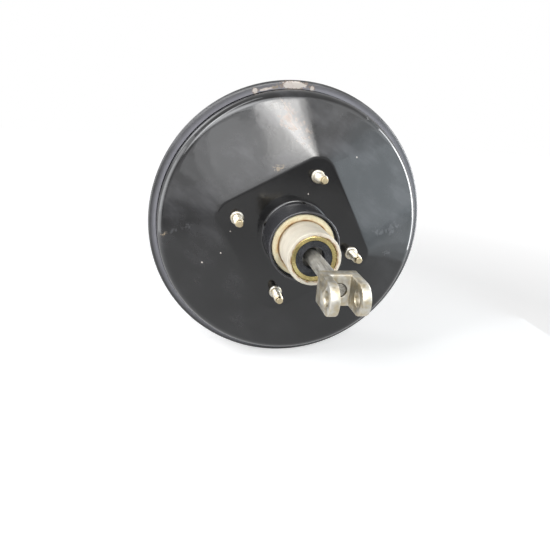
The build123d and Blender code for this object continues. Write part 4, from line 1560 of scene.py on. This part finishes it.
class BOOSTER_OT_vacuum_valve(bpy.types.Operator):
    """Turn the vacuum port's grommet and its one-way valve with the hose spigot"""

    bl_idname = "booster.vacuum_valve"
    bl_label = "Vacuum Valve"

    def execute(self, context):
        port = part_sizes("booster_port")
        shell = part_sizes("booster_shells")
        x, z = port_place()
        soft = 0.5 * MM
        fine = 0.3 * MM
        gap = 0.05 * MM
        stem_gap = 0.08 * MM
        bulge = 13.0 * MM
        inner_wall = 1.4 * MM
        flange_round = 1.2 * MM
        face, inner_end = reaches("vacuum_grommet")
        pad = reaches("front_shell")[0] + shell.port_sink
        stem = port.stem + stem_gap
        inner_hole = shell.port_hole - gap
        grommet = turned(
            "vacuum_grommet",
            [
                (stem, face, soft),
                (port.grommet, face, flange_round),
                (port.grommet, pad, soft),
                (inner_hole, pad, 0),
                (inner_hole, pad + shell.sheet, 0),
                (bulge, pad + shell.sheet, soft),
                (stem + inner_wall, inner_end, fine),
                (stem, inner_end, fine),
            ],
            x,
            z,
        )
        dress(grommet, "vacuum_grommet")
        mouth, stem_end = reaches("check_valve_body")
        floor_sheet = 3.0 * MM
        seat_height = 1.5 * MM
        barb_length = 3.0 * MM
        barb_r = 7.2 * MM
        floor = face - gap
        inner_floor = floor - floor_sheet
        seat_top = inner_floor - seat_height
        barb = stem_end - barb_length
        body = turned(
            "check_valve_body",
            [
                (port.stem_bore, stem_end, 0),
                (port.stem, stem_end, soft),
                (barb_r, barb, 0.2 * MM),
                (port.stem, barb, 0),
                (port.stem, floor, 0),
                (port.cup, floor, 1.0 * MM),
                (port.cup, mouth, 0.2 * MM),
                (port.cup - port.cup_wall, mouth, 0),
                (port.cup - port.cup_wall, inner_floor, soft),
                (port.stem, inner_floor, 0),
                (port.stem, seat_top, fine),
                (port.stem_bore, seat_top, fine),
            ],
            x,
            z,
        )
        dress(body, "check_valve_body")
        self.add_cap(x, z, mouth)
        return {"FINISHED"}

    def add_cap(self, x, z, mouth):
        """The valve's cap, its tower and the spigot for the hose."""
        port = part_sizes("booster_port")
        top = reaches("check_valve_cap")[0]
        plate = mouth - port.cap
        cap = turned(
            "check_valve_cap",
            [
                (0, mouth, 0),
                (port.cup, mouth, 0.2 * MM),
                (port.cup, plate, 0.8 * MM),
                (port.tower, plate, 1.0 * MM),
                (port.tower, top, port.tower_round),
                (0, top, 0),
            ],
            x,
            z,
        )
        mount = MOUNTS["vacuum_hose_spigot"]
        level = mount["pos_m"][1]
        radius = mount["dims"]["r_mm"] * MM
        root_end = mount["pos_m"][2] - mount["dims"]["length_mm"] * MM / 2
        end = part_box("check_valve_cap")[1].z
        spigot = self.upright(
            [
                (0, z, 0),
                (port.spigot_root, z, 0),
                (port.spigot_root, root_end, 0.6 * MM),
                (radius, root_end, 0),
                (radius, end, 1.0 * MM),
                (0, end, 0),
            ],
            x,
            level,
        )
        carve(cap, [spigot], "UNION")
        past = end + MM
        bore_r = port.spigot_bore
        bore = self.upright([(0, z, 0), (bore_r, z, 0), (bore_r, past, 0), (0, past, 0)], x, level)
        chamber_r = 5.5 * MM
        chamber_roof = 3.0 * MM
        chamber_floor = 1.5 * MM
        inlet_r = 3.5 * MM
        chamber = drill(chamber_r, top + chamber_roof, mouth - chamber_floor, x, z)
        inlet = drill(inlet_r, mouth - 2.0 * MM, mouth + MM, x, z)
        carve(cap, [bore, chamber, inlet])
        dress(cap, "check_valve_cap")

    def upright(self, corners, x, y):
        """A piece turned about a vertical line, from (radius, height, round) corners."""
        verts, faces = sweep_round(rounded(corners), even_turns(COLUMNS // 2))
        stood = [Vector((x + point.x, y + point.z, -point.y)) for point in verts]
        return new_piece("upright", stood, faces)


class BOOSTER_OT_inner_parts(bpy.types.Operator):
    """Give the pieces inside the shells their finishes"""

    bl_idname = "booster.inner_parts"
    bl_label = "Inner Parts"

    def execute(self, context):
        for name, node in frame["nodes"].items():
            node.data.materials.clear()
            node.data.materials.append(finish_for(node_slot(name)))
        return {"FINISHED"}


# Stage


class BOOSTER_OT_stage(bpy.types.Operator):
    """Lay the floor, light the booster and set the camera"""

    bl_idname = "booster.stage"
    bl_label = "Stage"

    def execute(self, context):
        scene = context.scene
        scene.view_settings.view_transform = "Standard"
        stage = part_sizes("booster_stage")
        self.add_floor(stage)
        self.add_world(scene)
        self.add_lamps()
        data = bpy.data.cameras.new("camera")
        data.lens = stage.lens
        data.sensor_width = 36.0
        data.dof.use_dof = False
        camera = bpy.data.objects.new("camera", data)
        camera.location = stage.camera_place
        level = Vector(stage.camera_look).to_track_quat("-Z", "Y")
        camera.rotation_euler = (level @ Quaternion((0, 0, 1), stage.camera_roll)).to_euler()
        scene.collection.objects.link(camera)
        scene.camera = camera
        return {"FINISHED"}

    def seen_share(self, tree):
        """One for the rays that show the background: seen, mirrored or through glass."""
        rays = add_node(tree, "ShaderNodeLightPath").outputs
        maths = Calculator(tree)
        mirrored = maths("MAXIMUM", rays["Is Glossy Ray"], rays["Is Transmission Ray"])
        return maths("MAXIMUM", rays["Is Camera Ray"], mirrored)

    def add_floor(self, stage):
        """A pale floor that keeps the booster's shadow."""
        level = CAD_BOX[0].z
        reach = 3.0
        sides = ((-1, -1), (1, -1), (1, 1), (-1, 1))
        verts = [Vector((x * reach, y * reach, level)) for x, y in sides]
        mesh = bpy.data.meshes.new("floor")
        mesh.from_pydata(verts, [], [[0, 1, 2, 3]])
        floor = bpy.data.objects.new("floor", mesh)
        bpy.context.scene.collection.objects.link(floor)
        material = bpy.data.materials.new("floor")
        material.use_nodes = True
        tree = material.node_tree
        shader = tree.nodes["Principled BSDF"]
        shader.inputs["Base Color"].default_value = stage.backdrop
        shader.inputs["Roughness"].default_value = 0.9
        shader.inputs["Specular IOR Level"].default_value = 0.0
        shader.inputs["Emission Color"].default_value = (1.0, 1.0, 1.0, 1.0)
        spot = add_node(tree, "ShaderNodeTexCoord").outputs["Object"]
        away = add_node(tree, "ShaderNodeVectorMath", {0: spot}, operation="LENGTH").outputs["Value"]

        # The floor is whiter far off, and mirrors darker in front of the pedal rod
        far = {"Value": away, "From Min": 0.45, "From Max": 1.1, "To Min": 0.50, "To Max": 1.0}
        ramp = add_node(tree, "ShaderNodeMapRange", far).outputs[0]
        depth = add_node(tree, "ShaderNodeSeparateXYZ", {0: spot}).outputs["Y"]
        near = {"Value": depth, "From Min": -0.48, "From Max": -0.24, "To Min": 0.35, "To Max": 1.0}
        fade = add_node(tree, "ShaderNodeMapRange", near).outputs[0]
        maths = Calculator(tree)
        seen = add_node(tree, "ShaderNodeLightPath").outputs["Is Camera Ray"]
        share = maths("MULTIPLY", ramp, maths("MAXIMUM", fade, seen))
        glow = maths("MULTIPLY", self.seen_share(tree), share)
        tree.links.new(glow, shader.inputs["Emission Strength"])
        mesh.materials.append(material)

    def add_world(self, scene):
        """White where the background shows, and a softer fill for the rest."""
        world = bpy.data.worlds.new("studio")
        world.use_nodes = True
        scene.world = world
        tree = world.node_tree
        tree.nodes.clear()
        pale_blue = (0.97, 0.985, 1.0, 1.0)
        white = (1.0, 1.0, 1.0, 1.0)
        fill = add_node(tree, "ShaderNodeBackground", {"Color": pale_blue, "Strength": 0.10})
        shown = add_node(tree, "ShaderNodeBackground", {"Color": white, "Strength": 1.0})
        shares = {0: self.seen_share(tree), 1: fill.outputs[0], 2: shown.outputs[0]}
        blend = add_node(tree, "ShaderNodeMixShader", shares)
        result = add_node(tree, "ShaderNodeOutputWorld")
        tree.links.new(blend.outputs[0], result.inputs["Surface"])

    def add_lamps(self):
        """Soft boxes that light the booster, and cards that only show in its gloss, with fading edges."""
        warm = (1.0, 0.985, 0.96)
        cool = (0.97, 0.98, 1.0)
        blue = (0.82, 0.93, 1.0)

        # Name, place, target, size, brightness in whites, tint, and whether it lights matt surfaces
        boxes = [
            ("key", (0.10, -1.03, 0.68), (0.0, 0.01, 0.09), (0.30, 0.38), 16.5, warm, True),
            ("wide", (-0.30, -1.05, 0.46), (-0.03, 0.0, 0.07), (0.70, 0.36), 3.6, cool, True),
            ("upper left", (-0.52, -0.22, 0.76), (-0.07, 0.02, 0.10), (0.12, 0.66), 10.0, cool, True),
            ("left", (-0.50, 0.05, 0.11), (0.0, 0.05, 0.11), (0.24, 0.46), 5.5, cool, True),
            ("left rear", (-0.50, 0.50, 0.50), (-0.08, 0.02, 0.08), (0.40, 0.40), 3.2, cool, True),
            ("right", (0.31, -0.22, 0.08), (0.0, -0.22, 0.08), (0.44, 0.37), 1.2, blue, True),
            ("overhead card", (-0.38, -0.58, 0.80), (-0.04, 0.02, 0.10), (1.00, 0.40), 9.5, cool, False),
            ("left card", (-0.60, -0.60, 0.10), (-0.10, 0.02, 0.03), (0.50, 0.34), 1.1, cool, False),
            ("right high card", (0.55, -0.53, 0.72), (0.04, 0.01, 0.09), (0.70, 0.44), 2.2, cool, False),
            ("right card", (0.32, -0.21, 0.09), (0.0, -0.21, 0.09), (0.42, 0.34), 1.7, blue, False),
            ("right strip card", (0.31, 0.02, 0.09), (0.1, 0.02, 0.09), (0.11, 0.36), 28.0, cool, False),
        ]
        layers = (1.45, 1.0, 0.55)
        gap = 0.02
        for name, spot, target, size, brightness, tint, fills in boxes:
            way = Vector(target) - Vector(spot)
            for layer in layers:
                data = bpy.data.lights.new(name, "AREA")
                data.shape = "RECTANGLE"
                data.size = size[0] * layer
                data.size_y = size[1] * layer
                data.energy = brightness / len(layers) * pi * data.size * data.size_y
                data.color = tint
                lamp = bpy.data.objects.new(name, data)
                lamp.location = Vector(spot) - way.normalized() * layer * gap
                lamp.rotation_euler = way.to_track_quat("-Z", "Y").to_euler()
                lamp.visible_camera = False
                lamp.visible_diffuse = fills
                bpy.context.scene.collection.objects.link(lamp)


STEPS = [
    BOOSTER_OT_inner_parts,
    BOOSTER_OT_rear_shell,
    BOOSTER_OT_front_shell,
    BOOSTER_OT_studs,
    BOOSTER_OT_neck_pack,
    BOOSTER_OT_valve_mouth,
    BOOSTER_OT_pedal_rod,
    BOOSTER_OT_output_rod,
    BOOSTER_OT_vacuum_valve,
    BOOSTER_OT_stage,
]
GROUPS = {
    "booster_shells": BoosterShells,
    "booster_studs": BoosterStuds,
    "booster_valve": BoosterValve,
    "booster_rods": BoosterRods,
    "booster_port": BoosterPort,
    "booster_colours": BoosterColours,
    "booster_stage": BoosterStage,
}


class BOOSTER_PT_panel(bpy.types.Panel):
    """Sizes, colours and steps of the booster"""

    bl_label = "Brake Booster"
    bl_idname = "BOOSTER_PT_panel"
    bl_space_type = "VIEW_3D"
    bl_region_type = "UI"
    bl_category = "Booster"

    def draw(self, context):
        for step in STEPS:
            self.layout.operator(step.bl_idname)
        for name, group in GROUPS.items():
            box = self.layout.box()
            box.label(text=group.bl_rna.description)
            for key in group.__annotations__:
                box.prop(getattr(context.scene, name), key)


def register():
    for group in GROUPS.values():
        bpy.utils.register_class(group)
    for step in STEPS:
        bpy.utils.register_class(step)
    bpy.utils.register_class(BOOSTER_PT_panel)
    for name, group in GROUPS.items():
        setattr(bpy.types.Scene, name, bpy.props.PointerProperty(type=group))


def unregister():
    for name in GROUPS:
        delattr(bpy.types.Scene, name)
    bpy.utils.unregister_class(BOOSTER_PT_panel)
    for group in [*STEPS, *GROUPS.values()]:
        bpy.utils.unregister_class(group)


def main():
    register()
    for step in STEPS:
        family, name = step.bl_idname.split(".")
        getattr(getattr(bpy.ops, family), name)()


if __name__ == "__main__":
    main()
